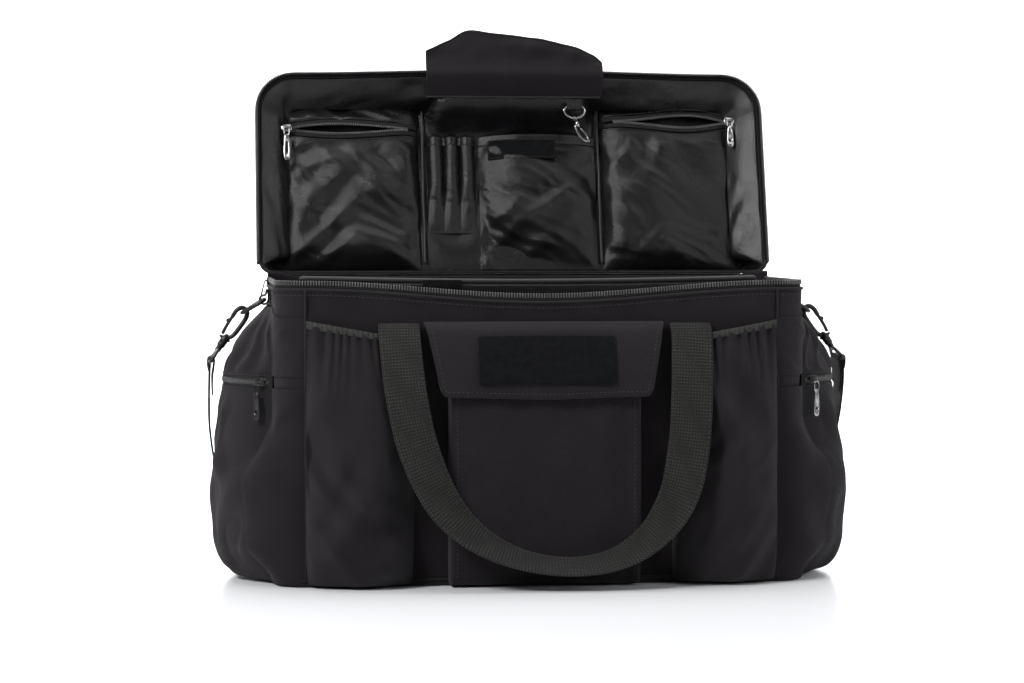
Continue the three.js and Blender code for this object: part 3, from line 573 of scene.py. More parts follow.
def studio_floor():
    vertices = []
    rows = [(-5.0, 0.0), (-1.0, 0.0), (0.5, 0.0), (2.6, 0.0)]
    rows += [(2.6 + 1.4 * math.sin(a), 1.4 - 1.4 * math.cos(a)) for a in np.linspace(0.15, math.pi / 2, 10)]
    rows.append((4.0, 5.0))
    for y, z in rows:
        vertices += [(-6000, y * 1000, z * 1000), (6000, y * 1000, z * 1000)]
    faces = [(2 * i, 2 * i + 1, 2 * i + 3, 2 * i + 2) for i in range(len(rows) - 1)]
    material, _, shader = nodes_of("floor")
    shader.inputs["Base Color"].default_value = (0.86, 0.87, 0.89, 1)
    shader.inputs["Roughness"].default_value = 0.17
    shader.inputs["Specular IOR Level"].default_value = 0.5
    mesh = bpy.data.meshes.new("floor")
    mesh.from_pydata([tuple(Vector(v) * MM) for v in vertices], [], faces)
    mesh.polygons.foreach_set("use_smooth", [True] * len(mesh.polygons))
    mesh.materials.append(material)
    floor = bpy.data.objects.new("floor", mesh)
    SCENE.collection.objects.link(floor)
    floor.location.z = -0.0003


studio_floor()


# ---- Body walls, base, divider ----

def end_outline(side, inset, steps=10):
    """One end of the body in plan, from the front seam round to the back seam."""
    radius = CORNER - inset
    cx, cy = HALF_LENGTH - CORNER, HALF_DEPTH - CORNER
    points = []
    for start, centre in ((-math.pi / 2, -cy), (0.0, cy)):
        for i in range(steps + 1):
            a = start + math.pi / 2 * i / steps
            points.append(Vector((side * (cx + radius * math.cos(a)), centre + radius * math.sin(a), 0)))
    return points


def along(points):
    """A function from 0..1 to a place on a polyline, by length, and the length."""
    lengths = [0.0]
    for a, b in zip(points, points[1:]):
        lengths.append(lengths[-1] + (b - a).length)

    def at(t):
        d = t * lengths[-1]
        for k in range(len(points) - 1):
            if d <= lengths[k + 1] or k == len(points) - 2:
                return points[k].lerp(points[k + 1], (d - lengths[k]) / max(lengths[k + 1] - lengths[k],
                    1e-9))
    return at, lengths[-1]


def dress(obj, body, *nodes):
    """The piece rides on the body and stands for the nodes."""
    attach(obj, body)
    if nodes:
        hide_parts(*nodes)
    return obj


def build_walls():
    half = HALF_LENGTH - CORNER
    for name, facing in (("front_panel", -1), ("back_panel", 1)):
        def place(s, t, facing=facing):
            x = lerp(-half, half, s) * -facing
            top = RIM - (rim_sag(x) if facing < 0 else 0)
            z = lerp(5.3, top, t)
            dent = (1.6 + 2.0 * wander((x, 0, z), 60,
                3.0)) * math.sin(math.pi * t) ** 0.5 * math.sin(math.pi * s) ** 0.3
            near_top = smooth((z - 232) / 12) * smooth((top - z) / 9)
            dent += near_top * (1.7 * wander((x + 0.7 * z, 0, z * 0.5), 26, 8.0) + 0.9 * wander((x, 0, z),
                12, 5.0) + 1.0)
            return Vector((x, facing * (HALF_DEPTH - max(dent, 0.0)), z))
        wall = grid(name + "_fabric", place, 110, 60, TWILL, (2 * half, 264))
        dress(thicken(wall, 3.2), "bag", name)
    for name, side in (("left_gusset", -1), ("right_gusset", 1)):
        points = end_outline(side, 0)
        at, length = along(points if side > 0 else points[::-1])
        def place(s, t, at=at):
            p = at(s)
            z = lerp(5.3, RIM, t)
            inward = 2.0 + 2.4 * wander((p.x, p.y, z * 0.7), 42, 5.0) + 1.1 * wander((p.x, p.y, z), 17, 2.0)
            centre = Vector((math.copysign(HALF_LENGTH - CORNER - 40, p.x), 0, 0))
            direction = (centre - Vector((p.x, p.y, 0))).normalized()
            q = p + direction * (inward * 0.9 * math.sin(math.pi * t) ** 0.5 * smooth(min(s, 1 - s) * 9))
            return Vector((q.x, q.y, z))
        wall = grid(name + "_fabric", place, 90, 50, TWILL, (length, 264))
        dress(thicken(wall, 3.2), "bag", name)
    # Corner piping over the seams between panels and gussets.
    pieces = []
    for x in (-half, half):
        for facing in (-1, 1):
            top = RIM - (rim_sag(x) if facing < 0 else 0)
            pts = [Vector((x, facing * (HALF_DEPTH + 0.2), z)) for z in np.linspace(6, top, 40)]
            pieces.append(tube(pts, 1.25, sides=8))
    dress(merged("corner_piping", pieces, TWILL_PLAIN), "bag")


def build_base():
    ring = end_outline(1, 0) + end_outline(-1, 0)[::-1]
    flat = []
    for inset, z in ((3.0, 0.0), (1.0, 0.5), (0.0, 1.8), (0.0, 3.6), (1.2, 5.0)):
        a, b = end_outline(1, inset), end_outline(-1, inset)[::-1]
        flat.append([Vector((p.x, p.y, z)) for p in a + b])
    n = len(flat[0])
    vertices = [p for row in flat for p in row]
    faces = ring_faces(n, len(flat))
    faces += [tuple(range(n - 1, -1, -1)), tuple(range((len(flat) - 1) * n, len(flat) * n))]
    base = new_object("bottom_panel_fabric", vertices, faces, TWILL_PLAIN)
    dress(base, "bag", "bottom_panel")
    welt = [Vector((p.x, p.y, 5.6)) for p in ring]
    dress(merged("bottom_piping", [tube(welt, 1.5, closed=True, sides=8)], TWILL_PLAIN), "bag")
    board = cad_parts["base_board"].data.materials
    board.clear()
    board.append(BOARD)


def build_divider():
    half, padding = 214.0, 2.5
    def top(x):
        return 276 - 3 * math.cos(math.pi * x / (2 * half))
    # A closed pad: front face up, over the rounded top edge and down the back.
    def place(s, t):
        x = lerp(-half, half, s)
        height = top(x) - 9.0
        d = t * (2 * height + math.pi * padding)
        swell = 1 + 0.22 * wander((x, 0, d), 55, 2.0)
        if d < height:
            return Vector((x, -padding * swell * smooth(d / 12 + 0.3), 9 + d))
        if d > height + math.pi * padding:
            return Vector((x, padding * swell, 9 + 2 * height + math.pi * padding - d))
        a = (d - height) / padding
        return Vector((x, -padding * math.cos(a), top(x) - padding + padding * math.sin(a)))
    pad = grid("divider_padding", place, 70, 110, NYLON, (2 * half, 540))
    thicken(pad, 0.8)
    dress(pad, "bag", "divider_panel")
    rib = [Vector((x, 0, top(x) + 0.4)) for x in np.linspace(-half, half, 80)]
    dress(merged("divider_binding", [tube(rib, 3.1)], NYLON_PLAIN), "bag")
    pieces = []
    for side in (-1, 1):
        for low, high in ((60, 84), (246, 270)):
            pieces.append(block((side * 226.5, 0, (low + high) / 2), BOX_AXES, (27, 1.8, high - low), 0.5))
    dress(merged("divider_tabs", pieces, WEBBING_PLAIN), "bag")
    pieces = [block((-83, -3.5, 267), BOX_AXES, (37, 1.6, 17), 0.5)]
    dress(merged("divider_loop_patch", pieces, LOOP), "bag")


def tape_and_teeth(name, line, node, body, height, thickness, out, up, pitch=2.5):
    """Zip tape that stands on a line of points, with its row of teeth along the free edge."""
    at, length = along(line)
    def place(s, t):
        p = at(s)
        return p + up(p) * (t * height)
    tape = grid(name + "_tape", place, int(length / 6), 4, ZIP_TAPE, (length, height))
    thicken(tape, thickness * 0.55, offset=0.0)
    dress(tape, body, node)
    edge = [p + up(p) * (height - 1.5) for p in line]
    row = merged(name + "_teeth", teeth(edge, up, out, pitch, (1.35, 4.2, 3.0)), ZIP_TEETH)
    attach(row, body)


def rim_line(inset):
    left = [p for p in end_outline(-1, inset, 8)[::-1] if p.y < 81]
    right = [p for p in end_outline(1, inset, 8) if p.y < 81]
    half = HALF_LENGTH - CORNER
    front = [Vector((x, -HALF_DEPTH + inset, 0)) for x in np.linspace(-half, half, 60)[1:-1]]
    return [Vector((p.x, p.y, RIM + 0.3 - rim_sag(p.x))) for p in left + front + right]


def build_rim():
    line = rim_line(1.8)
    tape_and_teeth("body_zip", line, "body_zip_half", "bag", 7.0, 1.6,
                   lambda p: Vector((p.x * 0.25, p.y, 0)).normalized(), lambda p: Vector((0, 0, 1)))
    # A bound edge under the zip, and its row of stitches.
    edge = rim_line(0.2)
    top = [Vector((p.x, p.y, p.z - 0.6)) for p in edge]
    dress(merged("rim_binding", [tube(top, 1.5, sides=8)], TWILL_PLAIN), "bag")
    def out(p):
        if abs(p.x) < HALF_LENGTH - CORNER:
            return Vector((0, -1, 0))
        c = Vector((math.copysign(HALF_LENGTH - CORNER, p.x),
            max(min(p.y, HALF_DEPTH - CORNER), -HALF_DEPTH + CORNER), 0))
        return (Vector((p.x, p.y, 0)) - c).normalized()
    row = [Vector((p.x, p.y, p.z - 5.5)) for p in rim_line(-0.15)]
    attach(stitches("rim_stitching", [row], THREAD, out), "bag")
    def hinge_place(s, t):
        x = lerp(244, -244, s)
        round_off = max(abs(x) - (HALF_LENGTH - CORNER), 0)
        y = HALF_DEPTH - CORNER + math.sqrt(max(CORNER ** 2 - round_off ** 2, 0)) - 1.2
        high = 277.2 + 5.0 * smooth((abs(x) - 214) / 24)
        return Vector((x, y + 0.5 * math.sin(math.pi * t), lerp(268.4, high, t)))
    hinge = grid("hinge_tape_fabric", hinge_place, 90, 5, TWILL, (480, 8))
    dress(thicken(hinge, 1.4), "bag", "hinge_tape")


# ---- Pockets ----

def arch_point(half, rise, s):
    """A place on a round arc over a chord: along it, and out from it."""
    radius = (half * half + rise * rise) / (2 * rise)
    reach = math.asin(min(half / radius, 1.0))
    if rise > half:
        reach = math.pi - reach
    a = lerp(-reach, reach, s)
    return radius * math.sin(a), radius * math.cos(a) - radius + rise, 2 * reach * radius


def edge_pins(columns, rows, top=1.0):
    pins = []
    for j in range(rows):
        for i in range(columns):
            edge = i in (0, columns - 1) or j == 0
            pins.append(1.0 if edge else (top if j == rows - 1 else 0.0))
    return pins


ELASTIC_ROWS = [(0, 0.7, 43, 2), (0.05, 1.0, 46, 12), (0.1, 4, 47.5, 22), (0.17, 14, 48.5, 29),
    (0.26, 34, 49, 34.5),
                (0.42, 80, 49, 37.5), (0.6, 130, 49, 35), (0.78, 175, 49, 26), (0.9, 205, 49, 16.5),
                (1, 229, 48.6, 9.8)]


def flat_cut(columns, rows, wide_at, height, along_y=False):
    """Places of a cut laid flat, wide_at(t) across at each row and height tall."""
    cut = []
    for j in range(rows):
        t = j / (rows - 1)
        wide = wide_at(t)
        for i in range(columns):
            across = (i / (columns - 1) - 0.5) * wide
            cut.append((0.0, across, t * height) if along_y else (across, 0.0, t * height))
    return cut


def drape(x, z, seed, width, length, angle):
    """Long soft folds, width apart, that run at an angle from upright; from -1 to 1, sharper on the ridges."""
    a = math.radians(angle)
    across, down = x * math.cos(a) + z * math.sin(a), z * math.cos(a) - x * math.sin(a)
    bend = 0.35 * noise.noise(Vector((across / length, down / length, seed + 5)))
    value = noise.noise(Vector((across / width + bend * 2, down / length, seed)))
    return 1.15 - 2.8 * math.sqrt(value * value + 0.03)


def build_elastic_pockets():
    for name, side in (("left", -1), ("right", 1)):
        middle = side * 167.0
        pleats = 10
        def place(s, t, side=side, middle=middle):
            z, half, rise = profile(ELASTIC_ROWS, t)
            a, depth, _ = arch_point(half, max(rise, 1.0), s)
            uneven = 1 + 0.5 * wander((s * 140, 0, 0), 22, side * 4.0)
            gather = 2.7 * smooth((t - 0.66 - 0.08 * uneven) / 0.26) * uneven + 0.7 * smooth((0.16 - t) / 0.16)
            phase = 2 * math.pi * (pleats * s + 1.5 * wander((s * 100, t * 36, 0), 30, side * 7.0))
            lump = drape(side * a, z, 3.0 + side, 46, 150, 26) * 13.5 + drape(side * a, z, 8.0 + side, 26,
                80, -38) * 6.0 - 3.0
            lump *= math.sin(math.pi * min(t * 1.04, 1)) ** 0.6
            depth += (gather * math.sin(phase) + lump) * smooth(min(s, 1 - s) * 12) * smooth(t * 20)
            tilt = side * 8 * (a / 49) * (z / 226) ** 3
            return Vector((middle + a, -(HALF_DEPTH + 0.4 + max(depth, 0.4)), z + tilt))
        columns, rows = 76, 84
        pocket = grid(name + "_elastic_pocket_cloth", place, columns, rows, TWILL, (170, 260))
        def elastic_width(t):
            _, half, rise = profile(ELASTIC_ROWS, t)
            return max(arch_point(half, max(rise, 1.0), 0)[2] * 1.06, 138.0)
        rest = flat_cut(columns, rows, elastic_width, 245)
        cloth(pocket, rest, edge_pins(columns, rows), pressure=0.9, cap=9.0, frames=28, bending=0.35,
              limit=lambda p: np.column_stack([p[:, 0],
              np.clip(p[:, 1], -HALF_DEPTH - 46, -HALF_DEPTH - 0.8), np.maximum(p[:, 2], 2.2)]))
        thicken(pocket, 1.5, levels=1)
        dress(pocket, "bag", name + "_elastic_pocket")

        def band(s, t, side=side, middle=middle):
            z = lerp(225.6, 232.2, t)
            a, depth, _ = arch_point(49.2, 11.4 - 0.35 * abs(2 * t - 1) ** 2, s)
            depth += 0.55 * math.sin(2 * math.pi * 22 * s) * smooth(min(s, 1 - s) * 16)
            tilt = side * 8 * (a / 49) * (z / 226) ** 3
            return Vector((middle + a, -(HALF_DEPTH + 0.5 + max(depth, 0.2)), z + tilt))
        binding = grid(name + "_elastic_band", band, 150, 7, ELASTIC, (104, 7))
        thicken(binding, 1.5, levels=1)
        dress(binding, "bag", name + "_elastic_binding")


CENTRE_ROWS = [(0, 0.7, 84, 2), (0.05, 1.0, 86, 13), (0.1, 5, 87, 19.5), (0.3, 60, 87, 24),
    (0.66, 150, 87, 23),
               (0.8, 185, 87, 20), (0.9, 205, 87, 15.5), (1, 226, 87, 9.5)]


def build_centre_pocket():
    def section(half, rise, s):
        corner = min(5.0, rise / 2)
        points = [Vector((-half, 0, 0)), Vector((-half, rise - corner, 0))]
        points += [Vector((-half + corner - corner * math.cos(a), rise - corner + corner * math.sin(a), 0))
            for a in (0.4, 0.8, 1.2)]
        points += [Vector((-half + corner, rise, 0))]
        points += [Vector((-p.x, p.y, 0)) for p in points[::-1]]
        at, length = along(points)
        return at(s), length
    def place(s, t):
        z, half, rise = profile(CENTRE_ROWS, t)
        p, _ = section(half, max(rise, 1.0), s)
        lump = 3.4 * wander((p.x + 0.5 * z, 0, z - 0.3 * p.x), 42, 4.0) + 3.0 * drape(p.x, z, 6.0, 40, 120,
            14) - 1.2
        depth = p.y + lump * math.sin(math.pi * t) ** 0.6 * smooth((87 - abs(p.x)) / 14)
        return Vector((p.x, -(HALF_DEPTH + 0.4 + max(depth, 0.3)), z))
    columns, rows = 104, 84
    pocket = grid("centre_pocket_cloth", place, columns, rows, TWILL, (214, 245))
    def centre_width(t):
        _, half, rise = profile(CENTRE_ROWS, t)
        return section(half, max(rise, 1.0), 0)[1] * 1.045
    rest = flat_cut(columns, rows, centre_width, 258)
    pins = edge_pins(columns, rows, top=0.6)
    cloth(pocket, rest, pins, pressure=0.8, cap=6.0, frames=22, bending=0.8,
          limit=lambda p: np.column_stack([p[:, 0], np.minimum(p[:, 1], -HALF_DEPTH - 0.8),
          np.maximum(p[:, 2], 2.2)]))
    thicken(pocket, 1.6, levels=1)
    dress(pocket, "bag", "centre_pocket")
    tree = BVHTree.FromObject(pocket, bpy.context.evaluated_depsgraph_get())
    lines = []
    for x in (-80.5, 80.5):
        line = []
        for z in np.linspace(8, 222, 60):
            hit = tree.ray_cast(Vector((x, -200, z)) * MM, Vector((0, 1, 0)))[0]
            if hit:
                line.append(hit / MM)
        lines.append(line)
    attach(stitches("centre_pocket_stitching", lines, THREAD, lambda p: Vector((0, -1, 0))), "bag")


FLAP_ROWS = [(0, 1.8, 238.0, 110), (0.1, 7.5, 235.6, 109), (0.22, 14, 230.2, 107), (0.4, 20.8, 215, 104),
             (0.66, 26, 196, 100), (0.9, 28, 179, 96.5), (1, 28.4, 172.5, 92)]


def flap_place(s, t, extra=0.0):
    out, z, half = profile(FLAP_ROWS, t)
    x = lerp(-half, half, s)
    # Small sags of the free edge, and a corner that lifts a little.
    z -= 2.2 * smooth((t - 0.6) / 0.4) * (0.5 + 0.5 * math.cos(math.pi * x / 92))
    ripple = 1.5 * wander((x, 0, z * 0.7), 46,
        6.0) * smooth(t * 3) + 1.6 * smooth((t - 0.75) / 0.25) * smooth((abs(x) - 50) / 40)
    return Vector((x, -(HALF_DEPTH + out + 0.8 + max(ripple, -0.7) + extra), z))


def build_flap():
    columns, rows = 90, 40
    flap = grid("pocket_flap_cloth", flap_place, columns, rows, TWILL, (214, 78))
    rest = []
    for j in range(rows):
        t = j / (rows - 1)
        half = profile(FLAP_ROWS, t)[2]
        for i in range(columns):
            rest.append((lerp(-half, half, i / (columns - 1)) * 1.02, 0.0, -t * 80))
    pins = [1.0 if j < 2 else (0.25 if j > 34 or 8 < j < 30 and 25 < i < 65 else 0.08) for j in range(rows)
        for i in range(columns)]
    cloth(flap, rest, pins, pressure=0.3, cap=3.0, frames=16, bending=1.5)
    thicken(flap, 2.2, offset=-1.0, levels=1)
    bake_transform(flap)
    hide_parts("centre_pocket_flap")
    graph = bpy.context.evaluated_depsgraph_get()
    tree = BVHTree.FromObject(flap, graph)

    def on_flap(x, z):
        hit = tree.ray_cast(Vector((x, -200, z)) * MM, Y_AXIS)[0]
        return None if hit is None else hit / MM

    # A turned and stitched edge.
    edge = [flap_place(0.006, t, 0.2) for t in np.linspace(0.16, 0.97, 24)]
    edge += [flap_place(s, 0.985, 0.2) for s in np.linspace(0.02, 0.98, 50)]
    edge += [flap_place(0.994, t, 0.2) for t in np.linspace(0.97, 0.16, 24)]
    rim = merged("pocket_flap_edge", [tube(edge, 1.0, sides=6)], TWILL_PLAIN)
    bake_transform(rim)
    inset = 5.0 / 214
    spots = [(inset, t) for t in np.linspace(0.2, 0.93, 30)]
    spots += [(s, 0.93) for s in np.linspace(inset, 1 - inset, 60)]
    spots += [(1 - inset, t) for t in np.linspace(0.93, 0.2, 30)]
    hits = [on_flap(p.x, p.z) for p in (flap_place(s, t) for s, t in spots)]
    seams = stitches("pocket_flap_stitching", [[q for q in hits if q]], THREAD,
        lambda p: Vector((0, -0.95, 0.3)))
    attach(seams, "pocket_flap")

    def patch_place(s, t):
        x = lerp(-62, 62, s)
        z = lerp(226.5, 183.0, t) + 0.8 * math.sin(math.pi * s)
        q = on_flap(x, z)
        return (q or Vector((x, -HALF_DEPTH - 25, z))) + Vector((0, -1.6, 0.4))
    patch = grid("loop_patch_pile", patch_place, 60, 22, LOOP, (124, 46))
    thicken(patch, 1.5, levels=1)
    dress(patch, "pocket_flap", "flap_loop_patch")
    outline = [patch_place(s, 0.06) for s in np.linspace(0.02, 0.98, 40)] + [patch_place(0.98, t)
        for t in np.linspace(0.06, 0.94, 14)]
    outline += [patch_place(s, 0.94) for s in np.linspace(0.98, 0.02, 40)] + [patch_place(0.02, t)
        for t in np.linspace(0.94, 0.06, 14)]
    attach(stitches("loop_patch_stitching", [outline], THREAD, lambda p: Vector((0, -0.95, 0.3)),
        width=0.6), "pocket_flap")


LOWER_ROWS = [(0, 0.7, 68, 2), (0.05, 1.0, 74, 24), (0.1, 4.5, 78, 36), (0.17, 14, 80, 44), (0.3, 40, 80, 51),
              (0.52, 84, 80, 54), (0.71, 122, 80, 51.5), (0.86, 150, 80, 48), (1, 179, 80, 44.3)]
END_HALF, END_RISE = 80, 44
END_RADIUS = (END_HALF ** 2 + END_RISE ** 2) / (2 * END_RISE)
END_ARC_X = HALF_LENGTH + 0.3 + END_RISE - END_RADIUS
UPPER_ROWS = [(0, 189.5, 80, 43.8), (0.2, 203, 79, 39), (0.4, 216, 77, 32.5), (0.62, 229, 73, 23.5),
    (0.85, 242, 68, 12),
              (1, 252, 63, 2.5)]


def outside_end(p, side):
    """Moves points (mm) that went through the end of the body back out to its surface."""
    cx, cy, gap = HALF_LENGTH - CORNER, HALF_DEPTH - CORNER, CORNER + 0.8
    x, y = side * p[:, 0], p[:, 1]
    centre_y = np.clip(y, -cy, cy)
    reach = np.maximum(np.hypot(np.maximum(x - cx, 1e-6), y - centre_y), 1e-6)
    grow = np.maximum(gap / reach, 1.0)
    x = np.where(x > cx, cx + (x - cx) * grow, x)
    y = centre_y + (y - centre_y) * grow
    return np.column_stack([side * x, y, np.maximum(p[:, 2], 2.2)])


def end_section(rows, s, t):
    """A place on the end pocket's cloth: (x out from the middle of the bag, y, z). It starts and ends at the corner seams."""
    z, half, rise = profile(rows, t)
    cx, cy, radius = HALF_LENGTH - CORNER, HALF_DEPTH - CORNER, CORNER + 0.9
    turn = 0.14
    if turn <= s <= 1 - turn:
        a, depth, _ = arch_point(half, max(rise, 1.0), (s - turn) / (1 - 2 * turn))
        x, y = HALF_LENGTH + 0.5 + max(depth, 0.4), a
    else:
        q = min(s, 1 - s) / turn
        sign = -1 if s < 0.5 else 1
        around = smooth(q) * 0.35 + q * 0.65
        a = math.pi / 2 * around
        x, y = cx + radius * math.sin(a), sign * (cy + radius * math.cos(a))
        y = lerp(y, sign * half, smooth((q - 0.6) / 0.4))
    full = cx + (radius + rise) * math.sqrt(max(1 - min(abs(y) / (cy + radius), 1) ** 2.4, 0))
    free = 0.8 * smooth((abs(z - 184) - 22) / 70) * smooth((z - 2) / 34) * smooth((250 - z) / 26)
    high = smooth((abs(y) - 60) / 44) * smooth((z - 225) / 27)
    return Vector((lerp(x, max(full, x), free), y, z - 9 * high))


def build_end_pockets():
    for name, side in (("left", -1), ("right", 1)):
        def place_on(rows, s, t, size, seed, side=side):
            p = end_section(rows, s if side > 0 else 1 - s, t)
            lump = size * (wander((p.x * 0.6, p.y + 0.45 * p.z, p.z - 0.4 * p.y), 36, seed)
                + 0.9 * drape(p.y, p.z, seed + 5, 32, 110, 20) - 0.3)
            calm = smooth(t * 8) * smooth((1 - t) * (7 if rows is LOWER_ROWS else 2.6)) * smooth(min(s,
                1 - s) * 14)
            out = Vector((p.x - HALF_LENGTH + 60, p.y * 0.7, 0)).normalized()
            return p, lump, calm, out
        def low_place(s, t, side=side, place_on=place_on):
            p, lump, calm, out = place_on(LOWER_ROWS, s, t, 5.6, side * 3.0)
            p = p + out * max(lump * calm, -1.5)
            return Vector((side * p.x, p.y, max(p.z, 2.2)))
        def high_place(s, t, side=side, place_on=place_on):
            p, lump, calm, out = place_on(UPPER_ROWS, s, t, 3.6, side * 6.0)
            crease = 2.3 * math.sin(2 * math.pi * (7.5 * s + 0.9 * wander((s * 90, t * 40, 0), 25,
                side * 2.0)))
            p = p + out * max((lump + crease) * calm, -1.5)
            return Vector((side * p.x, p.y, p.z))
        for label, place, rows_of, columns, rows, height, node in (
                ("end_pocket_cloth", low_place, LOWER_ROWS, 120, 72, 222, "end_pocket"),
                ("end_pocket_top_cloth", high_place, UPPER_ROWS, 120, 34, 68, "end_pocket_top")):
            pocket = grid(f"{name}_{label}", place, columns, rows, TWILL, (320, height))
            def end_width(t, rows_of=rows_of):
                spots = [end_section(rows_of, i / 40, t) for i in range(41)]
                return sum((b - a).length for a, b in zip(spots, spots[1:])) * 1.05
            rest = flat_cut(columns, rows, end_width, height * 1.06, along_y=True)
            cloth(pocket, rest, edge_pins(columns, rows), pressure=1.0, cap=6.0, frames=22, bending=0.5,
                  limit=lambda p, side=side: outside_end(p, side))
            thicken(pocket, 1.6, levels=1)
            dress(pocket, "bag", f"{name}_{node}")

        # Closed zip: a tape and two meshing rows of teeth, with a slider's width clear of the pocket.
        def on_band(s, z, extra=0.0, side=side):
            a, depth, _ = arch_point(END_HALF, END_RISE, s if side > 0 else 1 - s)
            centre = Vector((side * END_ARC_X, 0, z))
            p = Vector((side * (HALF_LENGTH + 0.3 + depth), a, z))
            return p + (p - centre).normalized() * extra
        tape = grid(f"{name}_end_zip_tape", lambda s,
            t: on_band(s, lerp(177.8, 190.4, t), 0.1 - 0.5 * abs(2 * t - 1) ** 3), 90, 7, ZIP_TAPE,
            (215, 12.6))
        thicken(tape, 1.2)
        dress(tape, "bag", f"{name}_end_zip")
        def outward(p, side=side):
            return (p - Vector((side * END_ARC_X, 0, p.z))).normalized()
        low = [on_band(s, 183.2, 0.1) for s in np.linspace(0.02, 0.98, 70)]
        high = [on_band(s, 184.7, 0.1) for s in np.linspace(0.02, 0.98, 70)]
        pieces = teeth(low, lambda p: Vector((0, 0, 1)), outward, 2.2, (1.05, 3.2, 1.6))
        pieces += teeth(high, lambda p: Vector((0, 0, -1)), outward, 2.2, (1.05, 3.2, 1.6), offset=1.1)
        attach(merged(f"{name}_end_zip_teeth", pieces, ZIP_TEETH), "bag")
        rows = [[on_band(s, z, 0.75) for s in np.linspace(0.01, 0.99, 60)] for z in (178.2, 190.0)]
        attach(stitches(f"{name}_end_zip_stitching", rows, THREAD, outward), "bag")


# ---- Handles, strap and metalwork ----

FRONT_HANDLE = [
    (-132, 2.2, 237.6, 0), (-132, 8, 234.5, 0), (-132, 14.5, 226, 0), (-131, 22, 210, 0), (-127, 34, 172, 4),
    (-116, 39, 124, 12), (-92, 42, 74, 30), (-60, 44, 44, 52), (-22, 45, 27, 66), (20, 46, 21, 70),
    (60, 45, 27, 66), (94, 43, 48, 52), (117, 42, 82, 30), (127, 39, 124, 12), (131, 34, 172, 4),
    (133, 22, 210, 0), (134, 14.5, 226, 0), (134, 8, 234.5, 0), (134, 2.2, 237.6, 0)]
BACK_HANDLE = [
    (-130, 2.2, 237.5, 0), (-130, 7, 215, 0), (-127, 11, 170, 0), (-117, 13, 122, 8), (-92, 15, 76, 22),
    (-52, 18, 44, 45), (0, 20, 34, 55), (52, 18, 44, 45), (92, 15, 76, 22), (117, 13, 122, 8),
    (127, 11, 170, 0), (130, 7, 215, 0), (130, 2.2, 237.5, 0)]


def webbing(name, centres, across, width, thickness, body, *nodes):
    """Flat webbing along a centre line, with soft rounded edges. It is dressed unless body is None."""
    lengths = [0.0]
    for a, b in zip(centres, centres[1:]):
        lengths.append(lengths[-1] + (b - a).length)
    columns, rows = 9, len(centres)
    vertices, uvs = [], []
    for j, centre in enumerate(centres):
        tangent = (centres[min(j + 1, rows - 1)] - centres[max(j - 1, 0)]).normalized()
        side = (across[j] - tangent * across[j].dot(tangent)).normalized()
        for i in range(columns):
            s = i / (columns - 1)
            vertices.append(centre + side * ((s - 0.5) * width))
            uvs.append((s * width, lengths[j]))
    strap = new_object(name, vertices, sheet_faces(columns, rows), WEBBING, uvs)
    thicken(strap, thickness, offset=0.0, levels=1)
    if body:
        dress(strap, body, *nodes)
    return strap


def build_handles():
    for name, route, facing in (("front_handle", FRONT_HANDLE, -1), ("back_handle", BACK_HANDLE, 1)):
        points = [(x, facing * (HALF_DEPTH + out), z) for x, out, z, _ in route]
        centres = curve(points, 9)
        twists = [p.x for p in curve([(r[3], 10.0 * i, 0) for i, r in enumerate(route)], 9)]
        across = []
        for i, c in enumerate(centres):
            tangent = (centres[min(i + 1, len(centres) - 1)] - centres[max(i - 1, 0)]).normalized()
            outward = Vector((0, facing, 0))
            flat = tangent.cross(outward).normalized()
            a = math.radians(twists[i])
            across.append(flat * math.cos(a) + outward * math.sin(a))
        handle = webbing(name + "_webbing", centres, across, STRAP_WIDTH, 2.2, None)
        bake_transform(handle)
        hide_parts(name)
        def out_of(p, facing=facing, centres=centres, across=across):
            k = min(range(len(centres)), key=lambda i: (centres[i] - p).length)
            tangent = (centres[min(k + 1, len(centres) - 1)] - centres[max(k - 1, 0)]).normalized()
            normal = tangent.cross(across[k]).normalized()
            return normal if normal.y * facing > 0 else -normal
        moved = []
        for edge in (-1, 1):
            line = []
            for c, a in list(zip(centres, across))[16:-16:2]:
                n = out_of(c)
                side = a.normalized()
                line.append(c + side * (edge * 16.8) + n * 1.15)
            moved.append(line)
        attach(stitches(name + "_stitching", moved, THREAD, out_of, length=3.4, gap=1.6), name)


RING = dict(x=249.5, y=10.0, z=257.0, half=14.0, reach=24.0, slope=math.radians(-31), wire=1.9)
HOOK_SLOPE = math.radians(-56.6)
HOOK_LINE = (math.cos(HOOK_SLOPE), math.sin(HOOK_SLOPE))
HOOK_TOP = (RING["x"] + RING["reach"] * math.cos(RING["slope"]) - 4.7 * HOOK_LINE[0],
            RING["z"] + RING["reach"] * math.sin(RING["slope"]) - 4.7 * HOOK_LINE[1])


def on_hook(side, down, square, along_y=0.0):
    return Vector((side * (HOOK_TOP[0] + down * HOOK_LINE[0] - square * HOOK_LINE[1]), RING["y"] + along_y,
                   HOOK_TOP[1] + down * HOOK_LINE[1] + square * HOOK_LINE[0]))


def turned(start, end, outline, sides=20):
    """(vertices, faces) of a turned piece from start to end; outline is (share of the way, radius)."""
    return tube([start.lerp(end, t) for t, _ in outline], [r for _, r in outline], sides=sides)


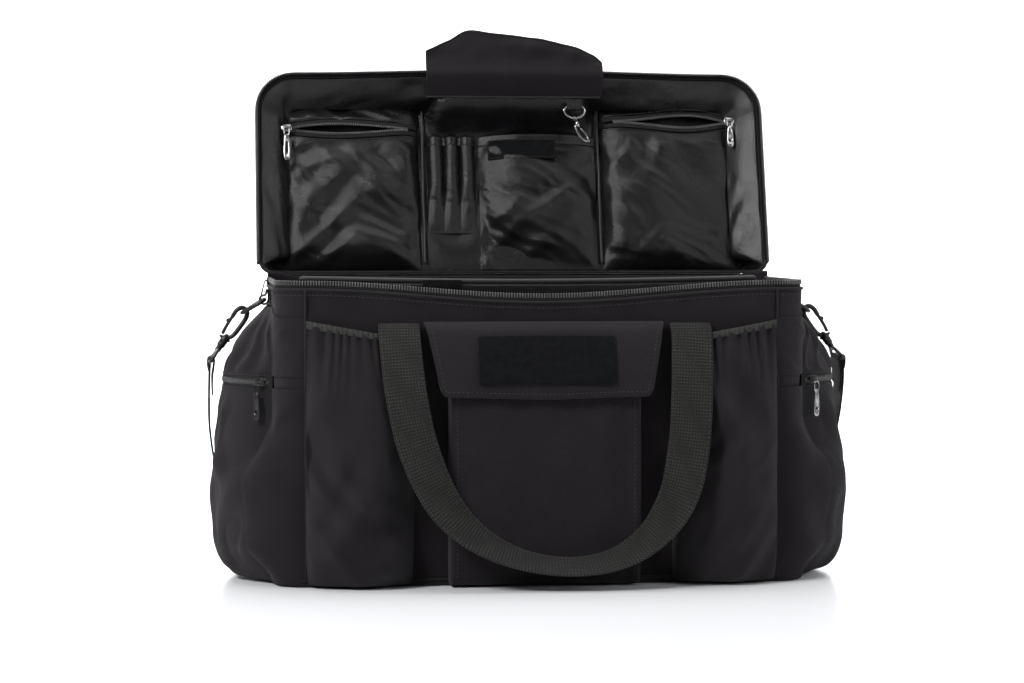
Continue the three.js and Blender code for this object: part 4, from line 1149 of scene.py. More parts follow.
def build_hardware():
    for name, side in (("left", -1), ("right", 1)):
        def on_ring(reach, y, side=side):
            return Vector((side * (RING["x"] + reach * math.cos(RING["slope"])), RING["y"] + y,
                           RING["z"] + reach * math.sin(RING["slope"])))
        h, r = RING["half"], RING["reach"]
        bend = [on_ring(0, -h + 2), on_ring(0, -h / 3), on_ring(0, h / 3), on_ring(0, h - 2), on_ring(3, h),
                on_ring(10, h - 0.5), on_ring(18, h - 5), on_ring(r, 0), on_ring(18, -h + 5),
                on_ring(10, -h + 0.5), on_ring(3, -h)]
        ring = merged(f"{name}_strap_ring", [tube(curve(bend, 6, True), RING["wire"], True, 14)],
            BLACK_METAL)
        dress(ring, f"{name}_ring_and_hook", f"{name}_ring")

        body = [on_hook(side, d, q) for d, q in ((12, 5.6), (5, 5.4), (0.8, 3), (0, 0), (0.8, -3),
            (5, -5.4), (18, -5.6), (28, -4.2), (34, 0))]
        path = curve(body, 7)
        radii = [2.1 + 0.35 * math.sin(math.pi * i / (len(path) - 1)) for i in range(len(path))]
        barrel = turned(on_hook(side, 31, 0), on_hook(side, 42, 0),
            [(0, 2.6), (0.1, 3.6), (0.2, 4.0), (0.6, 4.0), (0.68, 3.5), (0.76, 4.0), (0.92, 3.9), (1, 3.2)])
        wing = turned(on_hook(side, 33.5, -4), on_hook(side, 33.5, 5.2),
            [(0, 1.4), (0.15, 1.7), (0.85, 1.7), (1, 1.2)])
        hook = merged(f"{name}_snap_hook", [tube(path, radii, sides=14), barrel, wing], BLACK_METAL)
        dress(hook, f"{name}_ring_and_hook", f"{name}_hook")
        gate = curve([on_hook(side, d, q) for d, q in ((12.6, 5.6), (21, 5.6), (29.8, 4.8))], 8)
        lever = [on_hook(side, 16, 7.0), on_hook(side, 17.5, 8.2), on_hook(side, 19, 7.0)]
        piece = merged(f"{name}_snap_gate",
            [tube(gate, 1.65, sides=12), tube(curve(lever, 5), 0.9, sides=8)], BLACK_METAL)
        dress(piece, f"{name}_hook_gate", f"{name}_hook_gate")

        bar = STRAP_WIDTH / 2 + 2.4
        loop = [(46.5, -6), (46.5, 6), (49, 13), (55.5, bar), (57.5, bar - 1.2), (57.5, 8), (57.5, -8),
            (57.5, -bar + 1.2), (55.5, -bar), (49, -13)]
        path = curve([on_hook(side, d, 0, y) for d, y in loop], 6, True)
        eye_piece = turned(on_hook(side, 42.3, 0), on_hook(side, 47.2, 0),
            [(0, 2.2), (0.25, 2.9), (0.8, 3.0), (1, 2.4)])
        swivel = merged(f"{name}_strap_swivel", [tube(path, 1.75, True, 12), eye_piece], BLACK_METAL)
        dress(swivel, f"{name}_swivel", f"{name}_swivel")

        # Webbing tab: down from the rim, round the ring's bar and back up.
        face = HALF_LENGTH + 0.3
        profile_points = [(face + 1.0, 267.2), (face + 0.95, 262.5)]
        profile_points += [(RING["x"] + 4.15 * math.cos(math.radians(a)),
            RING["z"] + 4.15 * math.sin(math.radians(a))) for a in range(190, 451, 20)]
        profile_points += [(face + 3.6, 262.0), (face + 2.7, 267.2)]
        centres = curve([(side * x, RING["y"], z) for x, z in profile_points], 3)
        webbing(f"{name}_ring_tab_webbing", centres, [Vector((0, 1, 0))] * len(centres), 24, 1.5, "bag",
            f"{name}_ring_tab")
        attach(stitches(f"{name}_ring_tab_stitching",
            [[Vector((side * (face + 3.6), RING["y"] + y, 265.2)) for y in np.linspace(-10.5, 10.5, 8)]],
                         THREAD, lambda p, side=side: Vector((side, 0, 0))), "bag")


STRAP_DROP = [(300, 10, 198), (300.6, 10.5, 188), (301, 18, 168), (300, 38, 133), (293, 64, 88),
    (281, 96, 42),
              (265, 121, 13), (238, 137, 2.6)]
STRAP_RUN = [(200, 148, 1.4), (130, 156, 1.4), (60, 150, 1.4), (0, 144, 1.4)]


def build_strap():
    right = STRAP_DROP + STRAP_RUN
    full = curve(right + [(-x, y, z) for x, y, z in right[:-1][::-1]], 8)
    first = next(i for i, p in enumerate(full) if p.z < 9)
    last = len(full) - 1 - next(i for i, p in enumerate(full[::-1]) if p.z < 9)
    low = [Vector((p.x, p.y, max(p.z, 1.25))) for p in full[first - 2:last + 3]]
    webbing("strap_floor_run", low, [Y_AXIS] * len(low), STRAP_WIDTH, 1.9, "bag", "shoulder_strap")
    for name, side, part in (("right", 1, full[:first]), ("left", -1, full[last + 1:][::-1])):
        # Two layers of webbing hang from the swivel bar; the inner one is the turned-back end.
        drop = webbing(f"{name}_strap_drop", part, [Y_AXIS] * len(part), STRAP_WIDTH, 1.9, None)
        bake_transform(drop)
        bar = on_hook(side, 57.5, 0)
        turn = [Vector((bar.x + side * 3.0 * math.cos(a), 10, bar.z + 3.0 * math.sin(a)))
            for a in np.linspace(-0.2, math.pi + 0.2, 12)]
        lay = [Vector((part[0].x + side * 0.2, 10.2, 188)),
            Vector((bar.x + side * 2.9, 10, bar.z - 6))] + turn
        lay += [Vector((bar.x - side * 2.4, 10, bar.z - 6)), Vector((part[0].x - side * 2.0, 11, 186)),
            Vector((part[0].x - side * 1.9, 15, 172))]
        webbing(f"{name}_strap_loop", curve(lay, 3), [Y_AXIS] * (3 * (len(lay) - 1) + 1), STRAP_WIDTH, 1.7,
            f"{name}_swivel")
        rows = [[Vector((part[0].x + side * 1.3, 10.4 + y, z)) for y in np.linspace(-16, 16, 10)]
            for z in (187.0, 183.5)]
        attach(stitches(f"{name}_strap_stitching", rows, THREAD, lambda p,
            side=side: Vector((side, 0, 0))), f"{name}_swivel")
    # The doubled length behind the bag, held by its adjuster and keeper.
    second = [Vector((p.x, p.y + 1.5 * math.sin(p.x / 28), p.z + 2.1)) for p in full
        if p.z < 3 and -150 < p.x < 120]
    webbing("strap_doubled_run", second, [Y_AXIS] * len(second), STRAP_WIDTH, 1.9, "bag")
    at = Vector((92, 153, 3.6))
    pieces = []
    for x in (-13, 0, 13):
        bar = [at + Vector((x, -20, 0.8)), at + Vector((x, 0, 1.2)), at + Vector((x, 20, 0.8))]
        pieces.append(tube(curve(bar, 6), 1.7, sides=10))
    for y in (-20.5, 20.5):
        pieces.append(tube(curve([at + Vector((-13.5, y, 0.8)), at + Vector((0, y, 1.1)),
            at + Vector((13.5, y, 0.8))], 6), 1.9, sides=10))
    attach(merged("strap_adjuster", pieces, BLACK_METAL), "bag")
    centre = Vector((-140, 155.5, 2.6))
    keeper = [centre + Vector((0, y, z)) for y, z in ((-20.8, -1.9), (20.8, -1.9), (21.8, 0.4), (20.8, 3.4),
        (0, 4.1), (-20.8, 3.4), (-21.8, 0.4))]
    loop = curve(keeper, 6, True)
    webbing("strap_keeper", loop + [loop[0]], [Vector((1, 0, 0))] * (len(loop) + 1), 14, 1.2, "bag")


def slider(name, centre, along_way, over, out, size, gap, material, slot_name, body, *nodes):
    """A zip slider: two wings that narrow to the tail, and a bridge for the pull."""
    length, height = size
    pieces = []
    for level, thick, share in ((gap / 2 + 0.8, 1.5, 1.0), (-gap / 2 - 0.6, 1.1, 0.92)):
        outline = []
        for k in range(28):
            a = 2 * math.pi * k / 28
            x, y = math.cos(a), math.sin(a)
            x = math.copysign(abs(x) ** 0.55, x) * length / 2 * share
            taper = 1 - 0.22 * (0.5 - x / length)
            y = math.copysign(abs(y) ** 0.6, y) * height / 2 * share * taper
            outline.append((x, y))
        vertices = []
        for z, shrink in ((-thick / 2, 0.86), (-thick / 2 + 0.35, 1.0), (thick / 2 - 0.5, 1.0),
                (thick / 2, 0.84)):
            vertices += [centre + along_way * (x * shrink) + over * (y * shrink) + out * (level + z) for x,
                y in outline]
        faces = ring_faces(28, 4) + [tuple(range(27, -1, -1)), tuple(range(84, 112))]
        pieces.append((vertices, faces))
    pieces.append(block(centre + along_way * (length * 0.3), (along_way, over, out), (2.4, 1.6, gap + 0.6),
        0.3))
    base = gap / 2 + 1.3
    arc = [centre + along_way * a + out * (base + b) for a,
        b in ((-length * 0.34, 0), (-length * 0.26, 1.3), (0, 1.9), (length * 0.26, 1.3), (length * 0.34, 0))]
    pieces.append(tube(curve(arc, 6), 0.75, sides=10))
    return dress(merged(name, pieces, material), body, *nodes)


def pull(name, top, down, across, out, length, width, thick, material, slot_name, body, *nodes,
        slot_hole=False):
    """A pull tab: a loop at the slider's bridge and a flat tongue with a hole."""
    count = 36
    ring_o, ring_i = [], []
    hole_at, hole_r = length * 0.76, width * 0.2
    for k in range(count):
        a = 2 * math.pi * k / count
        x, y = math.cos(a), math.sin(a)
        px = math.copysign(abs(x) ** 0.5, x) * width / 2
        py = length * 0.6 + math.copysign(abs(y) ** 0.6, y) * length * 0.4
        px *= lerp(0.72, 1.0, min(max((py - length * 0.2) / (length * 0.5), 0), 1))
        ring_o.append((px, py))
        hy = (hole_at + hole_r * y) if not slot_hole else (length * 0.62 + length * 0.2 * y)
        ring_i.append((hole_r * x, hy))
    vertices, faces = [], []
    layers = [(ring_i, -thick / 2, 1), (ring_i, thick / 2, 1), (ring_o, thick / 2, 0.9),
        (ring_o, thick * 0.2, 1.0), (ring_o, -thick * 0.2, 1.0), (ring_o, -thick / 2, 0.9)]
    middle = length * 0.6
    for points, z, shrink in layers:
        for x, y in points:
            vertices.append(top + across * (x * shrink)
                + down * (middle + (y - middle) * (1 - (1 - shrink) * 0.4)) + out * z)
    for i in range(6):
        j = (i + 1) % 6
        faces += [(i * count + k, i * count + (k + 1) % count, j * count + (k + 1) % count, j * count + k)
            for k in range(count)]
    w = width * 0.36
    loop = [top + across * x + down * y for x, y in ((-w, 0.6), (0, -0.4), (w, 0.6), (w, length * 0.16),
        (w * 0.8, length * 0.25), (-w * 0.8, length * 0.25), (-w, length * 0.16))]
    pieces = [(vertices, faces), tube(curve(loop, 5, True), thick * 0.42, True, 8)]
    return dress(merged(name, pieces, material), body, *nodes)


def build_sliders():
    for name, side in (("left", -1), ("right", 1)):
        x_out = Vector((side, 0, 0))
        slider(f"{name}_main_zip_slider", Vector((side * 242.2, 76, 273.6)), Y_AXIS, Z_AXIS, x_out,
            (12, 7.8), 2.4,
               BLACK_METAL, "black_metal", f"{name}_main_slider", f"{name}_main_slider")
        lean = math.radians(14)
        hang, away = Vector((side * math.sin(lean), 0, -math.cos(lean))), Vector((side * math.cos(lean), 0,
            math.sin(lean)))
        pull(f"{name}_main_zip_pull", Vector((side * 247.0, 76, 272.4)), hang, Y_AXIS, away, 24, 7, 1.4,
             BLACK_METAL, "black_metal", f"{name}_main_pull", f"{name}_main_pull")
        a = math.radians(-50)
        out = Vector((side * math.cos(a), math.sin(a), 0))
        way = Vector((side * math.sin(a), -math.cos(a), 0))
        centre = Vector((side * END_ARC_X, 0, 184))
        slider(f"{name}_end_zip_slider", centre + out * 96.2, way, Z_AXIS, out, (12, 8.6), 2.4,
               BLACK_METAL, "black_metal", f"{name}_end_slider", f"{name}_end_slider")
        pull(f"{name}_end_zip_pull", centre + out * 102.0 + Vector((0, 0, -2.5)), -Z_AXIS, way, out, 32, 8,
            1.6,
             NICKEL if side > 0 else BLACK_METAL, "nickel" if side > 0 else "black_metal",
             f"{name}_end_pull", f"{name}_end_pull")
    across, up, out = Vector((1, 0, 0)), Vector((0, math.sin(LEAN), math.cos(LEAN))), -LID_IN
    for name, u, v, length in (("left", -222, 157, 34), ("right", 223, 166, 28)):
        slider(f"{name}_pocket_zip_slider", on_lid(u, v, 20.2), across * (1 if name == "left" else -1), up,
            out, (11, 8), 2.0,
               NICKEL, "nickel", f"{name}_pocket_slider", f"{name}_pocket_slider")
        pull(f"{name}_pocket_zip_pull", on_lid(u, v, 16.0), -up, across, out, length, 6.5, 1.3, NICKEL,
            "nickel",
             f"{name}_pocket_pull", f"{name}_pocket_pull", slot_hole=name == "left")


# ---- Lid ----

def lid_outline(depth, inset=0.0):
    """The lid's outline at one depth: (open run, hinge run) of (u, v), with the same points at every depth."""
    t = min(1.0, max(0.0, depth / TRAY))
    size = {k: lerp(EDGE[k], TOP[k], t) for k in EDGE}
    half, rear, front = size["half"] - inset, size["rear"] + inset, size["front"] - inset
    big, small = size["round"] - inset, size["small"] - inset

    def arc(cu, cv, radius, start, steps):
        return [(cu + radius * math.cos(start + math.pi / 2 * i / steps),
            cv + radius * math.sin(start + math.pi / 2 * i / steps))
                for i in range(steps + 1)]
    side = [(half, v) for v in np.linspace(rear + small, front - big, 15)[:-1]]
    run = [(u, front) for u in np.linspace(half - big, -half + big, 48)[1:-1]]
    far = [(-half, v) for v in np.linspace(front - big, rear + small, 15)[1:]]
    opening = side + arc(half - big, front - big, big, 0, 9) + run + arc(-half + big, front - big, big,
        math.pi / 2, 9) + far
    hinge = arc(-half + small, rear + small, small, math.pi, 6)[1:]
    hinge += [(u, rear) for u in np.linspace(-half + small, half - small, 34)[1:-1]]
    hinge += arc(half - small, rear + small, small, 1.5 * math.pi, 6)[:-1]
    return opening, hinge


def lid_ring(depth, inset=0.0):
    opening, hinge = lid_outline(depth, inset)
    return opening + hinge


def build_lid_shell():
    rows = 18
    rings = []
    for j in range(rows):
        t = j / (rows - 1)
        opening, hinge = lid_outline(lerp(7.3, TRAY, t))
        ring = []
        for k, (u, v) in enumerate(opening + hinge):
            is_hinge = k >= len(opening)
            depth = lerp(0.6 if is_hinge else 7.3, TRAY, t)
            if v > 199 and not is_hinge:
                depth -= rim_sag(u) * (1 - t)
            # The fabric puckers a little between its two seams.
            bow = math.sin(math.pi * t)
            pucker = (0.7 + 1.5 * wander((u, v, depth * 0.5), 26, 12.0) + 0.8 * wander((u, v, depth), 11,
                2.0)) * bow
            if not is_hinge:
                n = Vector((u, (v - 105) * 1.6, 0)).normalized()
                u, v = u + n.x * pucker, v + n.y * pucker
            ring.append(on_lid(u, v, depth))
        rings.append(ring)
    n = len(rings[0])
    vertices, uvs = [], []
    for j, ring in enumerate(rings):
        run = 0.0
        for k, p in enumerate(ring):
            run += (p - ring[k - 1]).length if k else 0
            vertices.append(p)
            uvs.append((run, j * 2.0))
    faces = ring_faces(n, rows, flipped=True)
    gusset = new_object("lid_gusset_fabric", vertices, faces, TWILL, uvs)
    thicken(gusset, 2.6, levels=1)
    dress(gusset, "lid", "lid_gusset")

    # The outer panel is a thin pad with a piped edge.
    steps = 12
    edge = lid_ring(TRAY + 0.3)
    centre = (0.0, 105.0)
    vertices, uvs = [], []
    for j in range(1, steps + 1):
        t = j / steps
        for u, v in edge:
            q = (lerp(centre[0], u, t), lerp(centre[1], v, t))
            crown = 2.6 * (1 - t ** 4) + 0.9 * wander((q[0], q[1], 0), 60, 7.0) * (1 - t ** 6)
            vertices.append(on_lid(q[0], q[1], TRAY + 3.2 + crown - (1.4 if j == steps else 0)))
            uvs.append(q)
    middle = len(vertices)
    vertices.append(on_lid(centre[0], centre[1], TRAY + 3.2 + 2.6))
    uvs.append(centre)
    n = len(edge)
    faces = ring_faces(n, steps)
    faces += [(middle, (k + 1) % n, k) for k in range(n)]
    panel = new_object("lid_panel_fabric", vertices, faces, TWILL, uvs)
    thicken(panel, 2.6, levels=1)
    dress(panel, "lid", "lid_panel")
    welt = [on_lid(u, v, TRAY + 0.8) for u, v in edge]
    dress(merged("lid_piping", [tube(welt, 1.7, True, 8)], TWILL_PLAIN), "lid")

    # Zip half, along both sides and the front.
    opening, _ = lid_outline(3.5, 1.5)
    line = [on_lid(u, v, 7.2 - (rim_sag(u) if v > 199 else 0)) for u, v in opening]
    def out(p):
        return Vector((p.x, 0.0, (p.z - 375) * 1.2)).normalized()
    tape_and_teeth("lid_zip", line, "lid_zip_half", "lid", 7.0, 1.6, out, lambda p: -LID_IN)
    bound, _ = lid_outline(7.3, -0.2)
    rim = [on_lid(u, v, 8.6 - (rim_sag(u) * 0.96 if v > 199 else 0)) for u, v in bound]
    dress(merged("lid_rim_binding", [tube(rim, 1.6, sides=8)], TWILL_PLAIN), "lid")
    row = [on_lid(u, v, 13.5 - (rim_sag(u) * 0.8 if v > 199 else 0)) for u, v in lid_outline(13.0, -1.2)[0]]
    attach(stitches("lid_rim_stitching", [row], THREAD, out), "lid")


def lining_rise(u, v):
    across = 1 - smooth((abs(u - 1) - 71) / 16)
    return (LINING - 8) * across * smooth((v - 150) / 36)


def crinkle(u, v, seed):
    """Folds of thin coated cloth that run on the slant, with finer creases between them."""
    warp = 22 * noise.noise(Vector((u / 80, v / 80, seed)))
    broad = drape(u + warp, v, seed, 52, 170, 38)
    cross = drape(u, v + warp, seed + 3, 32, 95, -50)
    fine = drape(u + warp, v, seed + 7, 12, 50, 62)
    return 5.4 * broad + 2.8 * cross + 0.9 * fine - 2.4


def build_lining():
    ring = lid_ring(30.0, 3.4)
    centre = (0.0, 105.0)
    steps = 30
    vertices, uvs = [], []
    for j in range(1, steps + 1):
        t = j / steps
        for u, v in ring:
            q = (lerp(centre[0], u, t), lerp(centre[1], v, t))
            fold = 0.55 * crinkle(q[0], q[1], 21.0) * (1 - t ** 8)
            vertices.append(on_lid(q[0], q[1], LINING - 1.4 - lining_rise(*q) - max(fold, -1.2)))
            uvs.append(q)
    middle = len(vertices)
    vertices.append(on_lid(*centre, LINING - 1.4))
    uvs.append(centre)
    n = len(ring)
    faces = ring_faces(n, steps, flipped=True)
    faces += [(middle, k, (k + 1) % n) for k in range(n)]
    lining = new_object("lid_lining_cloth", vertices, faces, NYLON, uvs)
    thicken(lining, 0.7)
    dress(lining, "lid", "lid_lining")
    # The gusset is lined too.
    rows = 14
    vertices, uvs = [], []
    for j in range(rows):
        t = j / (rows - 1)
        low = lid_outline(lerp(8.5, 27, t), lerp(3.4, 24, t))[0]
        for k, (u, v) in enumerate(low + lid_outline(lerp(8.5, 33, t), 3.6)[1]):
            depth = lerp(2.0, 32, t) if k >= len(low) else lerp(8.0, 27, t)
            if k < len(low) and v > 192 - 14 * t:
                depth -= rim_sag(u) * (1 - t)
            near = 1 if k < len(low) else 0.1
            fold = near * (2.6 + 4.0 * wander((u, v, depth), 30, 4.0) + 4.2 * drape(u + 0.7 * v, depth * 3,
                4.0, 24, 70, 28)) * math.sin(math.pi * t)
            inward = Vector((-u, (105 - v) * 1.6, 0)).normalized() * max(fold, 0.0)
            vertices.append(on_lid(u + inward.x, v + inward.y, depth))
            uvs.append((k * 8.0, depth))
    n = len(vertices) // rows
    faces = ring_faces(n, rows)
    side = new_object("lid_gusset_lining", vertices, faces, NYLON, uvs)
    thicken(side, 0.5, levels=1)
    dress(side, "lid")


def lid_sheet(name, low, high, rise, columns, rows, seed, *nodes):
    """A pocket wall of lining cloth on the lid. rise(u, v) is its height off the lining."""
    base = LINING - 1.8

    def place(s, t):
        u, v = lerp(low[0], high[0], s), lerp(low[1], high[1], t)
        quiet = smooth(min(s, 1 - s) * 12) * smooth(min(t, 1 - t) * 10)
        return on_lid(u, v, base - max(rise(u, v) + crinkle(u, v, seed) * quiet, 0.2))
    width, height = high[0] - low[0], high[1] - low[1]
    wall = grid(name, place, columns, rows, NYLON, (width, height))
    rest = []
    for j in range(rows):
        for i in range(columns):
            p = place(i / (columns - 1), j / (rows - 1))
            rest.append(((i / (columns - 1) - 0.5) * width * 1.05, 0.0, (p.z - 300) * 1.04 / math.cos(LEAN)))
    cloth(wall, rest, edge_pins(columns, rows), pressure=0.25, cap=5.0, frames=22, bending=0.12)
    thicken(wall, 0.7, offset=0.0, levels=1)
    return dress(wall, "lid", *nodes)


ZIP_POCKETS = (
    dict(name="left", low=-227, high=-90, zip=(-219, -104), v=157, lens=4.2, open_at=0.55, seed=31.0),
    dict(name="right", low=92, high=227, zip=(108, 220), v=166, lens=5.6, open_at=0.35, seed=47.0),
)


def build_zip_pockets():
    for z in ZIP_POCKETS:
        name, low, high, v0 = z["name"], z["low"], z["high"], z["v"]
        def rise(u, v, low=low, high=high):
            a = 2 * (u - low) / (high - low) - 1
            b = 2 * (v - 15) / 169 - 1
            return 11.6 * (1 - a ** 8) * (1 - b ** 8)
        def gape(u, z=z):
            a = (u - z["zip"][0]) / (z["zip"][1] - z["zip"][0])
            if not 0 < a < 1:
                return 0.0
            return z["lens"] * math.sin(math.pi * a ** (0.8 if z["name"] == "left" else 1.5)) ** 1.2
        def wall(label, bottom, top, rows, seed, nodes, z=z, rise=rise, low=low, high=high):
            def place(s, t):
                u = lerp(low, high, s)
                v = lerp(bottom(u), top(u), t)
                quiet = smooth(min(s, 1 - s) * 11) * smooth(t * (8
                    if bottom(u) < 100 else 5)) * smooth((1 - t) * (8 if bottom(u) < 100 else 5))
                return on_lid(u, v, LINING - 1.8 - max(rise(u, v) + 1.1 * crinkle(u, v, seed) * quiet, 0.2))
            columns = 76
            sheet = grid(label, place, columns, rows, NYLON, (high - low, top(0) - bottom(0)))
            rest = []
            for j in range(rows):
                for i in range(columns):
                    u = lerp(low, high, i / (columns - 1))
                    v = lerp(bottom(u), top(u), j / (rows - 1))
                    rest.append(((u - (low + high) / 2) * 1.05, 0.0, v * 1.045))
            cloth(sheet, rest, edge_pins(columns, rows), pressure=0.25, cap=5.0, frames=20, bending=0.12)
            thicken(sheet, 0.7, offset=0.0, levels=1)
            dress(sheet, "lid", *nodes)
        wall(f"{name}_zip_pocket_cloth", lambda u: 15.0, lambda u, g=gape, v0=v0: v0 - 4.6 - g(u), 74,
            z["seed"], [f"{name}_zip_pocket"])
        wall(f"{name}_zip_pocket_yoke", lambda u, g=gape, v0=v0: v0 + 4.6 + g(u), lambda u: 184.0, 16,
            z["seed"] + 3, [])

        # The two tapes and rows of teeth part where the zip stands open.
        pieces = []
        for up_side in (-1, 1):
            def place(s, t, up_side=up_side, z=z, rise=rise, gape=gape):
                u = lerp(low + 3, high - 3, s)
                v = z["v"] + up_side * (gape(u) + lerp(5.4, 0.9, t))
                return on_lid(u, v, LINING - 3.0 - rise(u, v) - 0.9)
            tape = grid(f"{name}_pocket_zip_tape_{'upper' if up_side > 0 else 'lower'}", place, 60, 4,
                ZIP_TAPE, (high - low, 5))
            thicken(tape, 0.8)
            dress(tape, "lid")
            us = np.linspace(z["zip"][0] - 3, z["zip"][1] + 3, 60)
            line = [on_lid(u, z["v"] + up_side * (gape(u) + 0.75), LINING - 3.0 - rise(u, z["v"]) - 1.5)
                for u in us]
            way = Vector((0, math.sin(LEAN), math.cos(LEAN))) * -up_side
            pieces += teeth(line, lambda p, way=way: way, lambda p: -LID_IN, 2.3, (1.2, 2.7, 1.8),
                offset=0.0 if up_side > 0 else 1.15)
        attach(merged(f"{name}_pocket_zip_teeth", pieces, ZIP_TEETH), "lid")
        rows = []
        for up_side in (-1, 1):
            rows.append([on_lid(u, v0 + up_side * (gape(u) + 7.2), LINING - 3.0 - rise(u, v0) - 1.1)
                for u in np.linspace(low + 4, high - 4, 50)])
        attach(stitches(f"{name}_zip_pocket_stitching", rows, THREAD, lambda p: -LID_IN,
            length=2.6, gap=1.2), "lid")


def hem(name, u0, u1, v, rise, width=9.0):
    """The turned top edge of a pocket: a flat folded band with two rows of stitches."""
    base = LINING - 1.8
    band = grid(name, lambda s, t: on_lid(lerp(u0, u1, s), lerp(v - width, v + 1.2, t),
        base - rise(lerp(u0, u1, s), min(v, 150)) - 0.9 - 0.5 * wander((lerp(u0, u1, s), v, 0), 14, v)),
                int(abs(u1 - u0) / 2), 6, NYLON, (abs(u1 - u0), width))
    thicken(band, 1.1, offset=0.0, levels=1)
    dress(band, "lid")
    rows = [[on_lid(u, w, base - rise(u, min(v, 150)) - 1.7) for u in np.linspace(u0, u1, 60)]
        for w in (v - width + 1.2, v - 0.8)]
    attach(stitches(name + "_stitching", rows, THREAD, lambda p: -LID_IN, length=2.4, gap=1.2),
        "lid")


def build_open_pockets():
    def pen_rise(u, v):
        a = 2 * (u + 82) / 48 - 1
        return 0.4 + 7.2 * abs(math.sin(math.pi * 3 * (a + 1) / 2)) ** 0.7 * smooth((v - 50) / 60)
    base = LINING - 1.8

    def pen_place(s, t):
        u, v = lerp(-82, -34, s), lerp(52, 150, t)
        return on_lid(u, v, base - pen_rise(u, v) - 0.5 * crinkle(u, v, 61.0) * smooth(min(t, 1 - t) * 8))
    pens = grid("pen_pocket_cloth", pen_place, 70, 60, NYLON, (60, 98))
    thicken(pens, 0.7, offset=0.0, levels=1)
    dress(pens, "lid", "pen_pocket")
    hem("pen_pocket_hem", -82.5, -33.5, 150, pen_rise, 8)
    seams = [[on_lid(u, v, base - 1.2) for v in np.linspace(56, 150, 30)] for u in (-82, -66, -50, -34)]
    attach(stitches("pen_pocket_stitching", seams, THREAD, lambda p: -LID_IN, length=2.4,
        gap=1.2), "lid")

    def phone_rise(u, v):
        a = abs(2 * (u + 31) / 119 - 1)
        return 0.4 + 12.6 * (1 - a ** 3) * smooth((v - 20) / 130 * 2.4)
    lid_sheet("phone_pocket_cloth", (-31, 15), (88, 149), phone_rise, 84, 90, 71.0, "phone_pocket")
    hem("phone_pocket_hem", -31, 88, 151, phone_rise, 9)

    def strip_place(s, t):
        u, v = lerp(-22, 46, s), lerp(126, 147, t)
        return on_lid(u, v, base - phone_rise(u, v) - 2.6 - 0.6 * wander((s * 60, t * 20, 0), 14, 2.0))
    strip = grid("phone_pocket_loop_strip", strip_place, 50, 14, LOOP, (68, 21))
    thicken(strip, 1.4, levels=1)
    dress(strip, "lid")
    outline = [on_lid(u, v, base - phone_rise(u, v) - 3.4) for u, v in
               [(u, 127.5) for u in np.linspace(-20.5, 44.5, 26)]
                   + [(44.5, v) for v in np.linspace(127.5, 145.5, 9)]
               + [(u, 145.5) for u in np.linspace(44.5, -20.5, 26)]
                   + [(-20.5, v) for v in np.linspace(145.5, 127.5, 9)]]
    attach(stitches("loop_strip_stitching", [outline], THREAD, lambda p: -LID_IN, length=2.4,
        gap=1.2), "lid")
    # Bound seams between the three columns of pockets.
    pieces = []
    for u in (-86.5, 90.2):
        line = [on_lid(u + 0.8 * wander((u, v, 0), 30, 5.0), v, base - 3.2 - lining_rise(u, v) * 0.9)
            for v in np.linspace(22, 182, 50)]
        pieces.append(tube(line, 1.3, sides=8))
    dress(merged("organiser_seams", pieces, NYLON_PLAIN), "lid")


FLAP_TOP = [(-84, 228), (-62, 238), (-43, 248), (-22, 245), (14, 241), (56, 234), (82, 225), (92, 218)]


def build_organiser_flap():
    def place(s, t):
        u = lerp(-84, 92, s)
        high = profile(FLAP_TOP, u)[0]
        over = -LID_GAP - rim_sag(u)
        v, d = profile([(0, 186.9, 5.6), (0.3, 203, over), (0.46, 213, over), (1, high, over)], t)
        free = smooth((t - 0.45) / 0.4)
        fold = 2.4 * wander((u, v, 0), 18, 3.0) + 4.6 * drape(u, v, 3.0, 40, 90,
            -34) - 5.0 * math.sin(math.pi * s) * free
        return on_lid(u, v, d + fold * free - 0.9 * free)
    flap = grid("organiser_flap_cloth", place, 84, 36, TWILL, (176, 66))
    thicken(flap, 1.3, offset=0.0, levels=1)
    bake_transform(flap)
    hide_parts("organiser_flap")
    edge = [place(s, t) for s, t in [(0.004, t) for t in np.linspace(0.2, 0.99, 22)]
        + [(s, 0.992) for s in np.linspace(0.01, 0.99, 60)]
            + [(0.996, t) for t in np.linspace(0.99, 0.2, 22)]]
    rim = merged("organiser_flap_edge", [tube(edge, 1.25, sides=8)], TWILL_PLAIN)
    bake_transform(rim)
    seam = [on_lid(u, 186.2, 6.4) for u in np.linspace(-82, 90, 60)]
    dress(merged("organiser_flap_seam", [tube(seam, 1.4, sides=8)], NYLON_PLAIN), "lid")


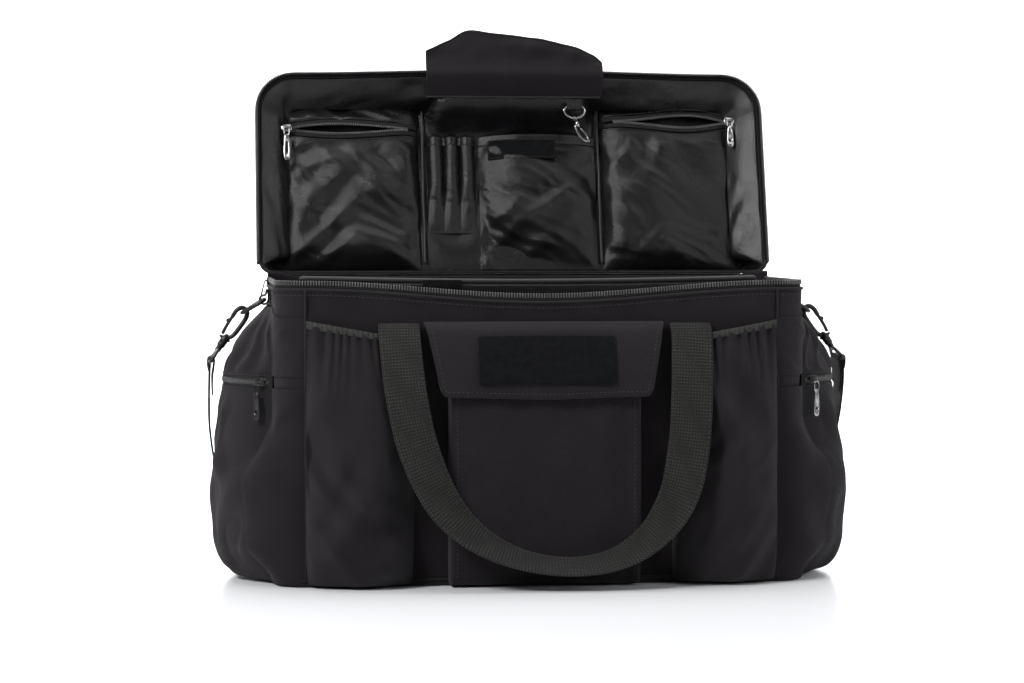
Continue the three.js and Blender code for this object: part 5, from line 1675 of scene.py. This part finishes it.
def build_key_hook():
    u, v, d, tilt = 64.0, 174.0, 2.4, math.radians(-24)
    ring = [(-9, 0), (-3, 0), (3, 0), (9, 0), (10.5, -2.5), (8, -8), (0, -11.5), (-8, -8), (-10.5, -2.5)]
    path = curve([on_lid(u + a, v + b, d) for a, b in ring], 6, True)
    dress(merged("key_ring_wire", [tube(path, 1.2, True, 12)], NICKEL), "lid", "key_ring")
    up = Vector((0, math.sin(LEAN), math.cos(LEAN)))
    pivot = on_lid(u, v - 12.1, d)
    down = Vector((1, 0, 0)) * -math.sin(tilt) - up * math.cos(tilt)
    sideways = Vector((1, 0, 0)) * math.cos(tilt) + up * math.sin(tilt)

    def place(a, b, c=0.0):
        return pivot + down * a + sideways * b + LID_IN * c
    eye_path = curve([place(a, 0, c) for a, c in ((0, -3.6), (3.2, 0), (0, 3.6), (-3.2, 0))], 8, True)
    body = curve([place(a, b) for a, b in ((2.9, 0), (7, 0), (9, -3.6), (14, -5), (22, -4.4), (25.5, 0),
        (23, 4.2), (19, 4.8))], 8)
    radii = [1.2 + 0.5 * math.exp(-((i - 4) / 3.0) ** 2) for i in range(len(body))]
    collar = turned(place(3.4, 0), place(8.0, 0), [(0, 1.5), (0.2, 2.2), (0.5, 2.0), (0.8, 2.3), (1, 1.6)],
        14)
    hook = merged("key_snap_hook", [tube(eye_path, 0.9, True, 10), tube(body, radii, sides=12), collar],
        NICKEL)
    dress(hook, "key_hook", "key_hook")
    gate = curve([place(18.2, 4.7), place(14, 4.4), place(10.4, 1.6)], 7)
    dress(merged("key_snap_gate", [tube(gate, 0.9, sides=10)], NICKEL), "key_hook_gate",
        "key_hook_gate")
    # The tab wraps the ring's straight bar and runs up under the flap.
    wrap = [on_lid(u, v + 7.4, d + 4.9), on_lid(u, v + 4.6, d + 3.4)]
    wrap += [on_lid(u, v + 2.2 * math.cos(a), d + 2.2 * math.sin(a))
        for a in np.radians(np.arange(60, 301, 30))]
    wrap += [on_lid(u, v + 4.4, d + 0.6), on_lid(u, v + 7.4, d + 3.4)]
    centres = curve(wrap, 3)
    webbing("key_tab_webbing", centres, [Vector((1, 0, 0))] * len(centres), 15, 1.0, "lid", "key_tab")


def build_lid():
    build_lid_shell()
    build_lining()
    build_zip_pockets()
    build_open_pockets()
    build_organiser_flap()
    build_key_hook()


build_walls()
build_base()
build_divider()
build_rim()
build_elastic_pockets()
build_centre_pocket()
build_flap()
build_end_pockets()
build_handles()
build_hardware()
build_strap()
build_sliders()
build_lid()

# The cut size of each sheet of cloth in mm, how it is held and what it lies on.
SHEETS = [
    ("pocket_flap_cloth", 218, 82, "hung", "centre_pocket_cloth"),
    ("centre_pocket_cloth", 223, 258, "stretched", "front_panel_fabric"),
    ("organiser_flap_cloth", 176, 72, "hung", "lid_lining_cloth"),
    ("phone_pocket_cloth", 125, 140, "stretched", "lid_lining_cloth"),
    ("pen_pocket_cloth", 72, 99, "stretched", "lid_lining_cloth"),
    ("lid_lining_cloth", 480, 200, "laid", "lid_gusset_fabric"),
]
for end in ("left", "right"):
    SHEETS += [
        (end + "_elastic_pocket_cloth", 138, 245, "gathered", "front_panel_fabric"),
        (end + "_end_pocket_cloth", 345, 235, "stretched", end + "_gusset_fabric"),
        (end + "_end_pocket_top_cloth", 290, 72, "gathered", end + "_gusset_fabric"),
        (end + "_zip_pocket_cloth", 144, 148, "stretched", "lid_lining_cloth"),
        (end + "_zip_pocket_yoke", 144, 24 if end == "left" else 12, "stretched", "lid_lining_cloth"),
    ]
